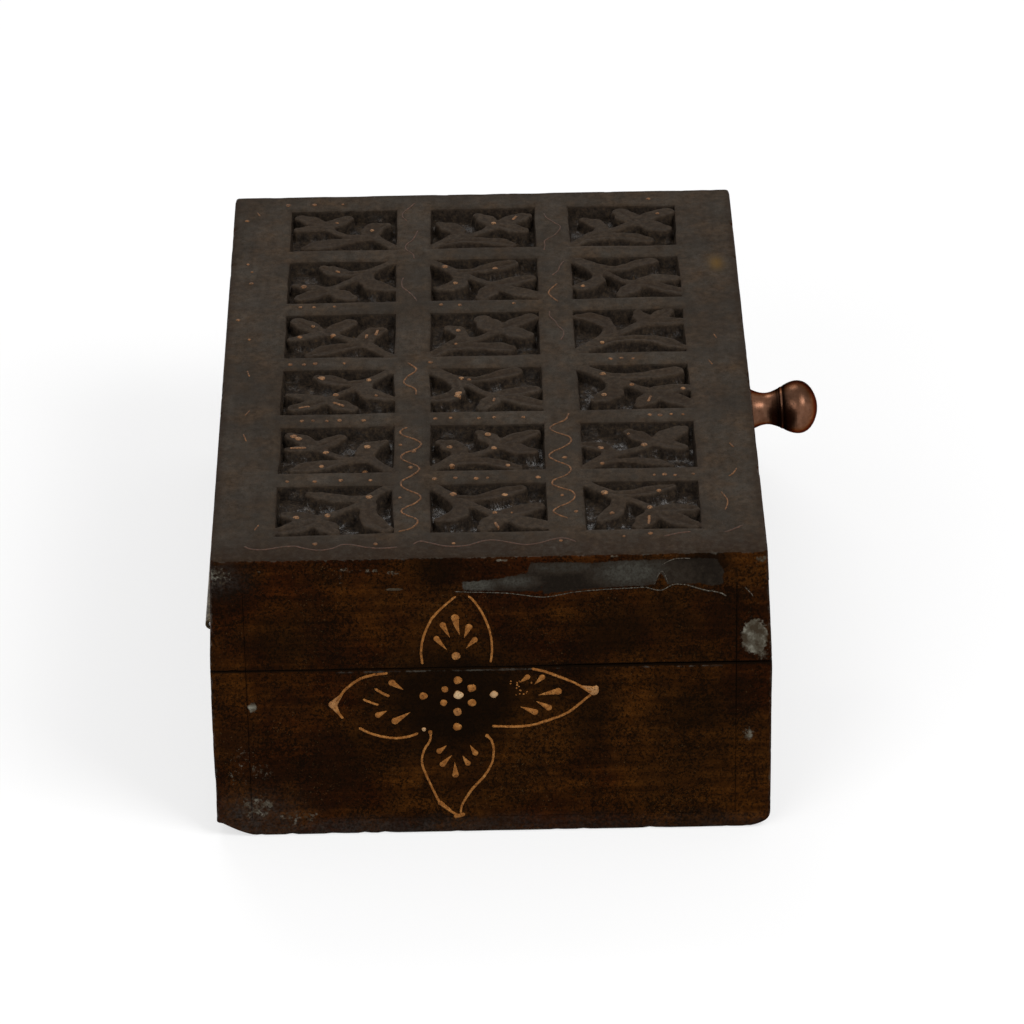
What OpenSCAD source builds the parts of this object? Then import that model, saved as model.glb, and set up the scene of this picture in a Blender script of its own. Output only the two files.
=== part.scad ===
// Keepsake box: a butt-jointed wooden box with a hinged lid, a carved top
// board, two brass butt hinges and a turned knob.  Millimetres, +Z up.
// Origin: centre of the underside.  X runs along the length, the front with
// the knob faces -Y and the hinges are at +Y.

/* [Box] */
// Length of the box, end to end
box_l = 254; // [220:1:290]
// Depth of the box, front to back
box_w = 178; // [150:1:205]
// Height of the base, from the table to its rim
base_h = 62; // [50:1:85]
// Height of the lid, from the rim to the carved face
lid_h = 41; // [37:1:55]

/* [Boards] */
// Thickness of the side and end boards
wall_t = 11.5; // [10.5:0.5:14]
// Thickness of the bottom board
bottom_t = 5.8; // [4.5:0.1:8]
// Thickness of the carved top board
top_t = 12.2; // [9:0.1:15]
// How far each long side of the lid leans in at the top
lid_lean = 1.85; // [0.5:0.05:3]
// Radius along the edges of the carved face
top_round = 1.6; // [0.5:0.1:3]
// Radius of the upright outer corners of the base
corner_round = 1.5; // [0.5:0.1:3]
// Chamfer along both sides of the parting line
rim_ease = 0.4; // [0.1:0.05:0.8]
// Reach of the rounding under the bottom board's long edges
foot_reach = 11.5; // [5:0.5:14]
// Height of the upright strip above that rounding
foot_strip = 0.6; // [0.3:0.1:1.5]

/* [Carving] */
// Rows of carved pockets along the length
pocket_rows = 6; // [4:1:6]
// Columns of carved pockets across the depth
pocket_cols = 3; // [2:1:3]
// Depth of the pockets
pocket_d = 4.6; // [2.5:0.1:7]
// Width of the bars between two rows
row_bar = 8.6; // [6:0.1:12]
// Width of the bars between two columns
col_bar = 11.6; // [8:0.1:14]
// Plain border at the left end
left_border = 16.4; // [12:0.1:20]
// Plain border at the right end
right_border = 11.4; // [9:0.1:18]
// Plain border along the front and the back
side_border = 19.8; // [14:0.1:24]
// How far the tops of the leaves lie below the carved face
leaf_drop = 0.7; // [0.3:0.1:1.5]
// Width of a leaf at its middle
leaf_w = 5.6; // [4:0.1:7]
// Width of the stems
stem_w = 2.4; // [1.6:0.1:3.5]

/* [Hinges] */
// Length of each hinge
hinge_l = 38; // [30:1:45]
// Distance from the end of the box to the hinge
hinge_inset = 30; // [20:1:40]
// Width of a hinge leaf, from the pin's axis
plate_w = 10; // [8.5:0.1:10.5]
// Thickness of a hinge leaf
plate_t = 1.1; // [0.8:0.05:1.4]
// Gap between the closed leaves
plate_gap = 0.3; // [0.1:0.05:0.5]
// Radius of the hinge barrel
barrel_r = 1.95; // [1.8:0.05:2.3]
// Number of knuckles in a barrel
knuckles = 5; // [3:2:7]
// End play between two knuckles
knuckle_gap = 0.2; // [0.1:0.05:0.4]
// Distance of the pin's axis behind the back of the box
axis_out = 0.35; // [0.3:0.05:0.8]
// Radius of the hinge pin
pin_r = 1.0; // [0.8:0.05:1.15]
// Radial clearance of the pin in the knuckles
pin_fit = 0.05; // [0.02:0.01:0.1]
// Clearance around the barrel and the leaves
hinge_clear = 0.35; // [0.3:0.05:0.6]
// Distance of the hinge screws from the ends of the hinge
hinge_screw_in = 8; // [5:0.5:12]
// Radius of the hinge screws' shanks
hinge_screw_r = 1.1; // [0.9:0.05:1.3]
// Radius of the hinge screws' heads
hinge_head_r = 2.1; // [1.7:0.05:2.4]
// Length of the hinge screws
hinge_screw_l = 9; // [6:0.5:14]

/* [Knob] */
// Length of the knob, from the lid to its tip
knob_l = 22.7; // [18:0.1:28]
// Radius of the knob's head
knob_head_r = 8.8; // [7:0.1:11]
// Distance of the head's widest ring from its tip
knob_head_in = 6.4; // [5:0.1:8]
// Radius of the foot that sits on the lid
knob_foot_r = 7.2; // [5.6:0.1:8.5]
// Radius of the neck
knob_neck_r = 5.3; // [4.5:0.1:6.5]
// Distance of the neck from the lid
knob_neck_out = 6; // [4:0.1:7]
// Radius of the shoulder below the head, at its fine ring
knob_ring_r = 6.7; // [6.5:0.1:7.5]
// Distance of the fine ring from the lid
knob_ring_out = 11.1; // [9:0.1:12]
// Distance of the knob's axis below the carved face
knob_drop = 19; // [17:0.5:21]
// Radius of the knob screw
knob_screw_r = 2; // [1.5:0.1:2.2]
// Radius of the knob screw's head
knob_screw_head_r = 3.8; // [3:0.1:4.5]
// How far the knob screw reaches into the knob
knob_grip = 10; // [7:0.5:12]

/* [Nails] */
// Radius of the panel pins
nail_r = 0.75; // [0.5:0.05:0.9]
// Radius of the panel pins' heads
nail_head_r = 1.3; // [1:0.05:1.6]
// Length of the panel pins in the corners
corner_nail_l = 25; // [18:1:30]
// Length of the panel pins in the bottom board
bottom_nail_l = 16; // [12:1:22]
// How far the heads are punched below the surface
nail_sink = 0.4; // [0.2:0.1:0.8]
// Distance of the base's corner pins from the edges of its boards
base_nail_in = 14; // [9:0.5:18]
// Distance of the lid's corner pins from the edges of its boards
lid_nail_in = 7.5; // [5:0.5:9]
// Clearance around screws and pins
fix_clear = 0.05; // [0.03:0.01:0.1]
// Number of pins along each long side of the bottom
side_nails = 4; // [3:1:6]
// Number of pins along each short side of the bottom
end_nails = 3; // [2:1:4]

/* [Hidden] */

WOOD = [0.16, 0.12, 0.09];
CARVED = [0.33, 0.29, 0.25];
BRASS = [0.62, 0.5, 0.28];
BRONZE = [0.5, 0.34, 0.25];
STEEL = [0.6, 0.6, 0.6];

round_fn = 48;           // segments of a full circle
arc_steps = 5;           // steps of a rounded edge
foot_steps = 8;          // steps of the rounding under the bottom board
profile_steps = 7;       // steps of each stretch of the knob's profile
cut = 1;                 // how far a cutter runs past a face

inner_y = box_w / 2 - wall_t;          // inner face of the long boards
inner_x = box_l / 2 - wall_t;          // inner face of the end boards
top_z = base_h + lid_h;                // carved face
seat_z = top_z - top_t;                // underside of the top board
axis_y = box_w / 2 + axis_out;         // hinge axis
hinge_x = box_l / 2 - hinge_inset - hinge_l / 2;
lean_a = atan(lid_lean / lid_h);       // lean of the lid's long sides
foot_rise = bottom_t - foot_strip;     // height of the rounding below
knob_z = top_z - knob_drop;
knob_board = lid_y(knob_z) - inner_y;  // thickness of the board at the knob
knuckle_l = hinge_l / knuckles;
plate_sink = plate_gap / 2 + plate_t;  // depth of a leaf's recess
screw_line = (barrel_r + hinge_clear + plate_w) / 2;
nail_x = box_l / 2 - wall_t / 2;       // corner pins run down the end boards
head_t = 1;                            // thickness of a hinge screw's head
nail_head_t = 0.8;
slot_w = 0.6;                          // screwdriver slots
slot_d = 0.4;
knob_head_t = 2.2;                     // height of the knob screw's head

// Half depth of the lid's outside at height z
function lid_y(z) = box_w / 2 - lid_lean * (z - base_h) / lid_h;

// Height of the bottom board's underside at distance y from the middle
function foot_z(y) =
    let (u = max(0, (abs(y) - (box_w / 2 - foot_reach)) / foot_reach))
    foot_rise * (1 - sqrt(max(0, 1 - u * u)));

// Points of a round of radius r about c, from angle a to angle b
function arc(c, r, a, b) = [
    for (i = [0 : arc_steps])
        let (t = a + (b - a) * i / arc_steps) c + r * [cos(t), sin(t)]
];

// A profile drawn in Y and Z, extruded along X about the middle
module along_x(len) {
    rotate([90, 0, 90])
        translate([0, 0, -len / 2])
            linear_extrude(len) children();
}

// A profile drawn in X and Z, extruded along Y about the middle
module along_y(len) {
    rotate([90, 0, 0])
        translate([0, 0, -len / 2])
            linear_extrude(len) children();
}

// The children, and their mirror image about v when on is true
module flipped(on, v) {
    if (on) mirror(v) children();
    else children();
}

// ---------------------------------------------------------------- fixings

// Countersunk screw with its head's face at z = 0, pointing down
module screw(r, head_r, head_h, len, slot) {
    difference() {
        rotate_extrude($fn = round_fn)
            polygon([[0, 0], [head_r, 0], [r, -head_h], [r, -len + 1.5 * r],
                     [0, -len]]);
        translate([-head_r - cut, -slot / 2, -slot_d])
            cube([2 * (head_r + cut), slot, slot_d + cut]);
    }
}

// Hole for such a screw
module screw_hole(r, head_r, head_h, len) {
    c = fix_clear;
    rotate_extrude($fn = round_fn)
        polygon([[0, cut], [head_r + c, cut], [head_r + c, 0],
                 [r + c, -head_h], [r + c, -len - c], [0, -len - c]]);
}

// Panel pin with its head's face at z = 0, pointing down
module nail(len) {
    rotate_extrude($fn = round_fn)
        polygon([[0, 0], [nail_head_r, 0], [nail_head_r, -nail_head_t / 2],
                 [nail_r, -nail_head_t], [nail_r, -len + 2 * nail_r],
                 [0, -len]]);
}

// Hole for a panel pin, open above z = 0
module nail_hole(len) {
    c = fix_clear;
    rotate_extrude($fn = round_fn)
        polygon([[0, 2], [nail_head_r + c, 2],
                 [nail_head_r + c, -nail_head_t / 2 - c],
                 [nail_r + c, -nail_head_t - c], [nail_r + c, -len - c],
                 [0, -len - c]]);
}

// Places of the corner pins: children at each, pointing inwards from y0(z)
module at_base_corner_nails() {
    for (sy = [0, 1], sx = [-1, 1])
        for (z = [bottom_t + base_nail_in, base_h - base_nail_in])
            flipped(sy == 1, [0, 1, 0])
                translate([sx * nail_x, -box_w / 2 + nail_sink, z])
                    rotate([90, 0, 0]) children();
}

module at_lid_corner_nails() {
    for (sy = [0, 1], sx = [-1, 1])
        for (z = [base_h + lid_nail_in, seat_z - lid_nail_in])
            flipped(sy == 1, [0, 1, 0])
                translate([sx * nail_x, -lid_y(z) + nail_sink, z])
                    rotate([90, 0, 0]) children();
}

// Places of the pins under the bottom board, pointing up
module at_bottom_nails() {
    side_y = inner_y + wall_t / 3;
    for (sy = [-1, 1])
        for (i = [0 : side_nails - 1])
            translate([(i - (side_nails - 1) / 2) * box_l / side_nails,
                       sy * side_y, foot_z(side_y) + nail_sink])
                rotate([180, 0, 0]) children();
    for (sx = [-1, 1])
        for (i = [0 : end_nails - 1])
            translate([sx * nail_x,
                       (i - (end_nails - 1) / 2) * 2 * inner_y / end_nails,
                       nail_sink])
                rotate([180, 0, 0]) children();
}

// ------------------------------------------------------------------ hinge

// Places of the two hinges, at the pin's axis
module at_hinge(side) {
    translate([side * hinge_x, axis_y, base_h]) children();
}

// Places of the screws in a hinge, at the leaf's inner face
module at_hinge_screws(upper) {
    for (s = [-1, 1])
        translate([s * (hinge_l / 2 - hinge_screw_in), -screw_line, 0])
            flipped(upper, [0, 0, 1])
                translate([0, 0, -plate_gap / 2]) children();
}

// One leaf with its knuckles; the base leaf has the outer ones
module hinge_leaf(upper) {
    own = upper ? 1 : 0;
    difference() {
        union() {
            flipped(upper, [0, 0, 1])
                translate([-hinge_l / 2, -plate_w, -plate_sink])
                    cube([hinge_l, plate_w, plate_t]);
            for (k = [0 : knuckles - 1])
                if (k % 2 == own)
                    translate([(k + 0.5) * knuckle_l - hinge_l / 2, 0, 0])
                        rotate([0, 90, 0])
                            cylinder(r = barrel_r,
                                     h = knuckle_l - knuckle_gap,
                                     center = true, $fn = round_fn);
        }
        for (k = [0 : knuckles - 1])
            if (k % 2 != own)
                translate([(k + 0.5) * knuckle_l - hinge_l / 2, 0, 0])
                    rotate([0, 90, 0])
                        cylinder(r = barrel_r + hinge_clear,
                                 h = knuckle_l + knuckle_gap / 2,
                                 center = true, $fn = round_fn);
        rotate([0, 90, 0])
            cylinder(r = pin_r + pin_fit, h = hinge_l + 2 * cut,
                     center = true, $fn = round_fn);
        at_hinge_screws(upper)
            screw_hole(hinge_screw_r, hinge_head_r, head_t, hinge_screw_l);
    }
}

// Straight pin with rounded ends
module hinge_pin() {
    ease = pin_r / 3;
    rotate([0, 90, 0])
        rotate_extrude($fn = round_fn)
            polygon([[0, -hinge_l / 2], [pin_r - ease, -hinge_l / 2],
                     [pin_r, -hinge_l / 2 + ease], [pin_r, hinge_l / 2 - ease],
                     [pin_r - ease, hinge_l / 2], [0, hinge_l / 2]]);
}

// What the hinge takes out of a board: the leaf's recess, the groove for the
// barrel and the screw holes
module hinge_recess(upper) {
    long = hinge_l + 2 * hinge_clear;
    flipped(upper, [0, 0, 1])
        translate([-long / 2, -plate_w - fix_clear, -plate_sink])
            cube([long, plate_w + barrel_r, plate_sink + cut]);
    rotate([0, 90, 0])
        cylinder(r = barrel_r + hinge_clear, h = long, center = true,
                 $fn = round_fn);
    at_hinge_screws(upper)
        screw_hole(hinge_screw_r, hinge_head_r, head_t, hinge_screw_l);
}

// ------------------------------------------------------------------- base

// Plan of the box with its upright corners rounded
module plan() {
    r = corner_round;
    x = box_l / 2 - r;
    y = box_w / 2 - r;
    polygon(concat(arc([x, y], r, 0, 90), arc([-x, y], r, 90, 180),
                   arc([-x, -y], r, 180, 270), arc([x, -y], r, 270, 360)));
}

module base_plan(z, h) {
    translate([0, 0, z]) linear_extrude(h) plan();
}

module base_bottom_board() {
    color(WOOD)
        difference() {
            intersection() {
                along_x(box_l) {
                    half = [for (i = [0 : foot_steps])
                        let (y = box_w / 2
                                 - foot_reach * (1 - sin(90 * i / foot_steps)))
                        [y, foot_z(y)]];
                    polygon(concat(
                        [[box_w / 2, bottom_t], [-box_w / 2, bottom_t]],
                        [for (i = [foot_steps : -1 : 0])
                            [-half[i][0], half[i][1]]],
                        half));
                }
                base_plan(-cut, bottom_t + 2 * cut);
            }
            at_bottom_nails() nail_hole(bottom_nail_l);
        }
}

// Long board of the base, with its outer face at -Y
module base_long_board() {
    intersection() {
        along_x(box_l)
            polygon([[-box_w / 2, bottom_t], [-inner_y, bottom_t],
                     [-inner_y, base_h], [-box_w / 2 + rim_ease, base_h],
                     [-box_w / 2, base_h - rim_ease]]);
        base_plan(bottom_t - cut, base_h - bottom_t + 2 * cut);
    }
}

module base_front_board() {
    color(WOOD)
        difference() {
            base_long_board();
            at_base_corner_nails() nail_hole(corner_nail_l);
            at_bottom_nails() nail_hole(bottom_nail_l);
        }
}

module base_back_board() {
    color(WOOD)
        difference() {
            mirror([0, 1, 0]) base_long_board();
            at_base_corner_nails() nail_hole(corner_nail_l);
            at_bottom_nails() nail_hole(bottom_nail_l);
            for (side = [-1, 1]) at_hinge(side) hinge_recess(false);
        }
}

// End board of the base, caught between the long boards
module base_end(side) {
    color(WOOD)
        difference() {
            flipped(side > 0, [1, 0, 0])
                along_y(2 * inner_y)
                    polygon([[-box_l / 2, bottom_t], [-inner_x, bottom_t],
                             [-inner_x, base_h],
                             [-box_l / 2 + rim_ease, base_h],
                             [-box_l / 2, base_h - rim_ease]]);
            at_base_corner_nails() nail_hole(corner_nail_l);
            at_bottom_nails() nail_hole(bottom_nail_l);
        }
}

module base_left_end() { base_end(-1); }
module base_right_end() { base_end(1); }

module base_corner_nails() {
    color(STEEL) at_base_corner_nails() nail(corner_nail_l);
}

module bottom_board_nails() {
    color(STEEL) at_bottom_nails() nail(bottom_nail_l);
}

module left_hinge_base_leaf() { color(BRASS) at_hinge(-1) hinge_leaf(false); }
module right_hinge_base_leaf() { color(BRASS) at_hinge(1) hinge_leaf(false); }
module left_hinge_pin() { color(STEEL) at_hinge(-1) hinge_pin(); }
module right_hinge_pin() { color(STEEL) at_hinge(1) hinge_pin(); }

module hinge_screws(upper) {
    color(BRASS)
        for (side = [-1, 1])
            at_hinge(side)
                at_hinge_screws(upper)
                    screw(hinge_screw_r, hinge_head_r, head_t, hinge_screw_l,
                          slot_w);
}

module base_hinge_screws() { hinge_screws(false); }

// -------------------------------------------------------------------- lid

// Long board of the lid, with its outer face at -Y
module lid_long_board() {
    along_x(box_l)
        polygon([[-inner_y, base_h], [-box_w / 2 + rim_ease, base_h],
                 [-lid_y(base_h + rim_ease), base_h + rim_ease],
                 [-lid_y(seat_z), seat_z], [-inner_y, seat_z]]);
}

// Place of the knob: its axis is square to the leaning face
module at_knob() {
    translate([0, -lid_y(knob_z), knob_z])
        rotate([90 - lean_a, 0, 0]) children();
}

module lid_front_board() {
    color(WOOD)
        difference() {
            lid_long_board();
            at_lid_corner_nails() nail_hole(corner_nail_l);
            at_knob()
                translate([0, 0, -knob_board + nail_sink])
                    rotate([180, 0, 0])
                        screw_hole(knob_screw_r, knob_screw_head_r,
                                   knob_head_t, knob_board + cut);
        }
}

module lid_back_board() {
    color(WOOD)
        difference() {
            mirror([0, 1, 0]) lid_long_board();
            at_lid_corner_nails() nail_hole(corner_nail_l);
            for (side = [-1, 1]) at_hinge(side) hinge_recess(true);
        }
}

// End board of the lid, caught between the long boards
module lid_end(side) {
    color(WOOD)
        difference() {
            flipped(side > 0, [1, 0, 0])
                along_y(2 * inner_y)
                    polygon([[-inner_x, base_h],
                             [-box_l / 2 + rim_ease, base_h],
                             [-box_l / 2, base_h + rim_ease],
                             [-box_l / 2, seat_z], [-inner_x, seat_z]]);
            at_lid_corner_nails() nail_hole(corner_nail_l);
        }
}

module lid_left_end() { lid_end(-1); }
module lid_right_end() { lid_end(1); }

module lid_corner_nails() {
    color(STEEL) at_lid_corner_nails() nail(corner_nail_l);
}

module left_hinge_lid_leaf() { color(BRASS) at_hinge(-1) hinge_leaf(true); }
module right_hinge_lid_leaf() { color(BRASS) at_hinge(1) hinge_leaf(true); }
module lid_hinge_screws() { hinge_screws(true); }

// ---------------------------------------------------------------- carving

carved_y = lid_y(top_z);               // half depth of the carved face
pocket_l = (box_l - left_border - right_border - (pocket_rows - 1) * row_bar)
           / pocket_rows;
pocket_w = (2 * carved_y - 2 * side_border - (pocket_cols - 1) * col_bar)
           / pocket_cols;

// Disc whose rim passes the ends of a chord of length c and rises by h
module bow(c, h) {
    r = (c * c / 4 + h * h) / (2 * h);
    translate([c / 2, h - r]) circle(r = r, $fn = round_fn);
}

// Leaf from point a to point b between two arcs: it bulges by out on its left
// and by inn on its right, or is hollow there when inn is negative
module blade(a, b, out, inn) {
    c = norm(b - a);
    translate(a)
        rotate(atan2(b[1] - a[1], b[0] - a[0]))
            if (inn > 0)
                intersection() {
                    bow(c, out);
                    mirror([0, 1]) bow(c, inn);
                }
            else
                difference() {
                    bow(c, out);
                    bow(c, -inn);
                }
}

// Leaf sprig in a pocket: the stem starts in the corner at the origin, X runs
// along the length of the box and Y across it
module sprig() {
    l = pocket_l;
    w = pocket_w;
    root = [-0.03 * l, -0.03 * w];
    fork = [0.48 * l, 0.56 * w];
    turn = [0.3 * l, 0.24 * w];
    blade(root, turn + [0.05 * l, 0.04 * w], 0.62 * stem_w, 0.62 * stem_w);
    blade(turn - [0.06 * l, 0.05 * w], fork + [0.06 * l, 0.06 * w],
          0.7 * stem_w, 0.3 * stem_w);
    // side leaf that curls back over the short side
    blade([0.24 * l, 0.17 * w], [0.42 * l, 0.36 * w],
          0.45 * stem_w, 0.55 * stem_w);
    blade([0.36 * l, 0.37 * w], [0.66 * l, 0.05 * w],
          0.5 * leaf_w, 0.5 * leaf_w);
    // long leaf that arches along the pocket's long side
    blade([0.03 * l, 0.8 * w], [0.08 * l, 0.12 * w],
          leaf_w, -0.3 * leaf_w);
    // three lobes of the forked leaf
    blade(fork - [0.05 * l, 0.04 * w], [0.86 * l, 0.4 * w],
          0.5 * leaf_w, 0.5 * leaf_w);
    blade(fork - [0.04 * l, 0.03 * w], [0.82 * l, 0.94 * w],
          0.5 * leaf_w, 0.5 * leaf_w);
    blade(fork - [0.02 * l, 0.04 * w], [0.36 * l, 0.92 * w],
          0.45 * leaf_w, 0.45 * leaf_w);
}

// Children at each pocket's corner, mirrored the way the carver turned them
module at_pockets() {
    for (i = [0 : pocket_rows - 1], j = [0 : pocket_cols - 1]) {
        x = -box_l / 2 + left_border + i * (pocket_l + row_bar);
        y = carved_y - side_border - j * (pocket_w + col_bar);
        from_right = i % 2 == 0;
        from_front = j == 0;
        translate([x + (from_right ? pocket_l : 0),
                   y - (from_front ? pocket_w : 0)])
            flipped(from_right, [1, 0])
                flipped(!from_front, [0, 1]) children();
    }
}

module lid_top_board() {
    r = top_round;
    ty = carved_y;
    color(CARVED) {
        difference() {
            intersection() {
                along_x(box_l)
                    polygon(concat(
                        [[-lid_y(seat_z), seat_z], [lid_y(seat_z), seat_z]],
                        arc([ty - r, top_z - r], r, 0, 90),
                        arc([-ty + r, top_z - r], r, 90, 180)));
                along_y(box_w + 2 * cut)
                    polygon(concat(
                        [[-box_l / 2, seat_z - cut],
                         [box_l / 2, seat_z - cut]],
                        arc([box_l / 2 - r, top_z - r], r, 0, 90),
                        arc([-box_l / 2 + r, top_z - r], r, 90, 180)));
            }
            translate([0, 0, top_z - pocket_d])
                linear_extrude(pocket_d + cut)
                    at_pockets() square([pocket_l, pocket_w]);
        }
        intersection() {
            translate([0, 0, top_z - pocket_d - cut])
                linear_extrude(pocket_d + cut - leaf_drop)
                    at_pockets() sprig();
            translate([0, 0, top_z - pocket_d - cut])
                linear_extrude(pocket_d + 2 * cut)
                    at_pockets()
                        translate([-cut, -cut])
                            square([pocket_l + 2 * cut, pocket_w + 2 * cut]);
        }
    }
}

// ------------------------------------------------------------------- knob

// Radius of the knob at distance s from the lid
function knob_r(s) =
    s <= knob_neck_out
        ? knob_neck_r + (knob_foot_r - knob_neck_r)
                        * pow(1 - s / knob_neck_out, 2)
    : s <= knob_ring_out
        ? knob_neck_r + (knob_ring_r - knob_neck_r)
                        * pow((s - knob_neck_out)
                              / (knob_ring_out - knob_neck_out), 2)
    : s <= knob_l - knob_head_in
        ? knob_ring_r + (knob_head_r - knob_ring_r)
                        * sin(90 * (s - knob_ring_out)
                              / (knob_l - knob_head_in - knob_ring_out))
    : knob_head_r * sqrt(max(0, 1 - pow((s - knob_l + knob_head_in)
                                        / knob_head_in, 2)));

// Distances from the lid at which the profile has points
function stretch(a, b) =
    [for (i = [1 : profile_steps]) a + (b - a) * i / profile_steps];

module knob() {
    bead = 0.3;
    below = concat([0], stretch(0, knob_neck_out),
                   stretch(knob_neck_out, knob_ring_out - bead));
    above = stretch(knob_ring_out + bead, knob_l - knob_head_in);
    tip = [for (i = [1 : 2 * profile_steps])
        knob_l - knob_head_in * (1 - sin(90 * i / (2 * profile_steps)))];
    color(BRONZE)
        at_knob()
            difference() {
                rotate_extrude($fn = round_fn)
                    polygon(concat(
                        [[0, 0]],
                        [for (s = below) [knob_r(s), s]],
                        [[knob_ring_r + bead, knob_ring_out - bead],
                         [knob_ring_r + bead, knob_ring_out + bead]],
                        [for (s = above) [knob_r(s), s]],
                        [for (s = tip) [knob_r(s), s]]));
                translate([0, 0, -cut])
                    cylinder(r = knob_screw_r + fix_clear,
                             h = knob_grip + 1.5 + cut, $fn = round_fn);
            }
}

module knob_screw() {
    color(BRASS)
        at_knob()
            translate([0, 0, -knob_board + nail_sink])
                rotate([180, 0, 0])
                    screw(knob_screw_r, knob_screw_head_r, knob_head_t,
                          knob_board - nail_sink + knob_grip, 1);
}

base_bottom_board();
base_front_board();
base_back_board();
base_left_end();
base_right_end();
base_corner_nails();
bottom_board_nails();
left_hinge_base_leaf();
right_hinge_base_leaf();
left_hinge_pin();
right_hinge_pin();
base_hinge_screws();
lid_top_board();
lid_front_board();
lid_back_board();
lid_left_end();
lid_right_end();
lid_corner_nails();
left_hinge_lid_leaf();
right_hinge_lid_leaf();
lid_hinge_screws();
knob();
knob_screw();
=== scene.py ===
"""Keepsake box: dark lacquered boards, a carved top with painted relief dots and
scrolls, a painted four-petal flower on the left end, brass butt hinges and a
turned bronze knob.  Lengths are in millimetres here and scaled by MM."""
import math

import bmesh
import bpy
import numpy as np
from mathutils import Matrix, Vector


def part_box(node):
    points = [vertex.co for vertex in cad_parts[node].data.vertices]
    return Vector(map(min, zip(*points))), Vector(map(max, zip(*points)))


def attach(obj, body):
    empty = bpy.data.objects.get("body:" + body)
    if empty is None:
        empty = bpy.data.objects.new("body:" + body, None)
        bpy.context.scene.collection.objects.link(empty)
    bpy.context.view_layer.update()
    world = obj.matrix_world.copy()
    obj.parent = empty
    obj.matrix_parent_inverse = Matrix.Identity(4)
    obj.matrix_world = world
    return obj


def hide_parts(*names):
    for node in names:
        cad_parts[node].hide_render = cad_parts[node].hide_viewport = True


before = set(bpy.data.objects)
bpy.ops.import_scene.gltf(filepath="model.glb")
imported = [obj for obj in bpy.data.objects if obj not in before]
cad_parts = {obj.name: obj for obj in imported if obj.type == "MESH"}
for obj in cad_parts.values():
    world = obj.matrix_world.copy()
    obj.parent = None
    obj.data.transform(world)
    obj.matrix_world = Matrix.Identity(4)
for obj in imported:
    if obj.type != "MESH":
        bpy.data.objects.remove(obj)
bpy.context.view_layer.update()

MM = 0.001
SEED = 11


# ------------------------------------------------------- sizes from the frame

def node_box(name):
    """Lowest and highest corner of a CAD node, in millimetres."""
    low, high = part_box(name)
    return np.array(low) / MM, np.array(high) / MM


TOP_LOW, TOP_HIGH = node_box("lid_top_board")
BASE_HIGH = node_box("base_front_board")[1]
BOTTOM_HIGH = node_box("base_bottom_board")[1]
END_HIGH = node_box("base_left_end")[1]

HALF_L = TOP_HIGH[0]                 # half the length
HALF_W = BOTTOM_HIGH[1]              # half the depth at the parting line
RIM_Z = BASE_HIGH[2]                 # parting line
TOP_Z = TOP_HIGH[2]                  # carved face
SEAT_Z = TOP_LOW[2]                  # underside of the top board
FLOOR_Z = BOTTOM_HIGH[2]             # upper side of the bottom board
INNER_X = -END_HIGH[0]               # inner face of the end boards
INNER_Y = END_HIGH[1]                # inner face of the long boards
LEAN = 1.85                          # how far the lid's long sides lean in
LID_H = TOP_Z - RIM_Z


def lid_y(z):
    """Half depth of the lid's outside at height z."""
    return HALF_W - LEAN * (z - RIM_Z) / LID_H


# -------------------------------------------------------------------- noise

def lattice(ix, iy, iz, seed):
    """A repeatable random number from 0 to 1 for each lattice point."""
    h = (ix * 73856093) ^ (iy * 19349663) ^ (iz * 83492791) ^ (seed * 2654435761)
    h &= 0xFFFFFFFF
    h = ((h ^ (h >> 13)) * 1274126177) & 0xFFFFFFFF
    h = (h ^ (h >> 16)) & 0xFFFFFF
    return h / float(0xFFFFFF)


def vnoise(p, scale, seed):
    """Smooth value noise from -1 to 1 at the points p, with cells of scale mm."""
    q = np.asarray(p, float) / scale + 4096.0
    i = np.floor(q).astype(np.int64)
    f = q - i
    f = f * f * (3 - 2 * f)
    total = np.zeros(len(q))
    for dx in (0, 1):
        wx = f[:, 0] if dx else 1 - f[:, 0]
        for dy in (0, 1):
            wy = f[:, 1] if dy else 1 - f[:, 1]
            for dz in (0, 1):
                wz = f[:, 2] if dz else 1 - f[:, 2]
                total += wx * wy * wz * lattice(i[:, 0] + dx, i[:, 1] + dy, i[:, 2] + dz, seed)
    return 2 * total - 1


def fbm(p, scale, octaves, seed):
    """Layered value noise, about -1 to 1."""
    total = np.zeros(len(p))
    size = 0.0
    for k in range(octaves):
        total += vnoise(p, scale / 2 ** k, seed + 17 * k) / 2 ** k
        size += 1 / 2 ** k
    return total / size * 1.6


def smooth(x, low=0.0, high=1.0):
    """Smooth step from 0 at low to 1 at high."""
    t = np.clip((x - low) / (high - low), 0, 1)
    return t * t * (3 - 2 * t)


def bell(x, middle, width):
    """A bell curve that is 1 at the middle."""
    return np.exp(-((x - middle) / width) ** 2)


def shifts(p, scale, seed, count):
    """Smooth noise for each of count axes."""
    return np.stack([vnoise(p, scale, seed + k) for k in range(count)], 1)


# ----------------------------------------------------------------- materials

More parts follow.
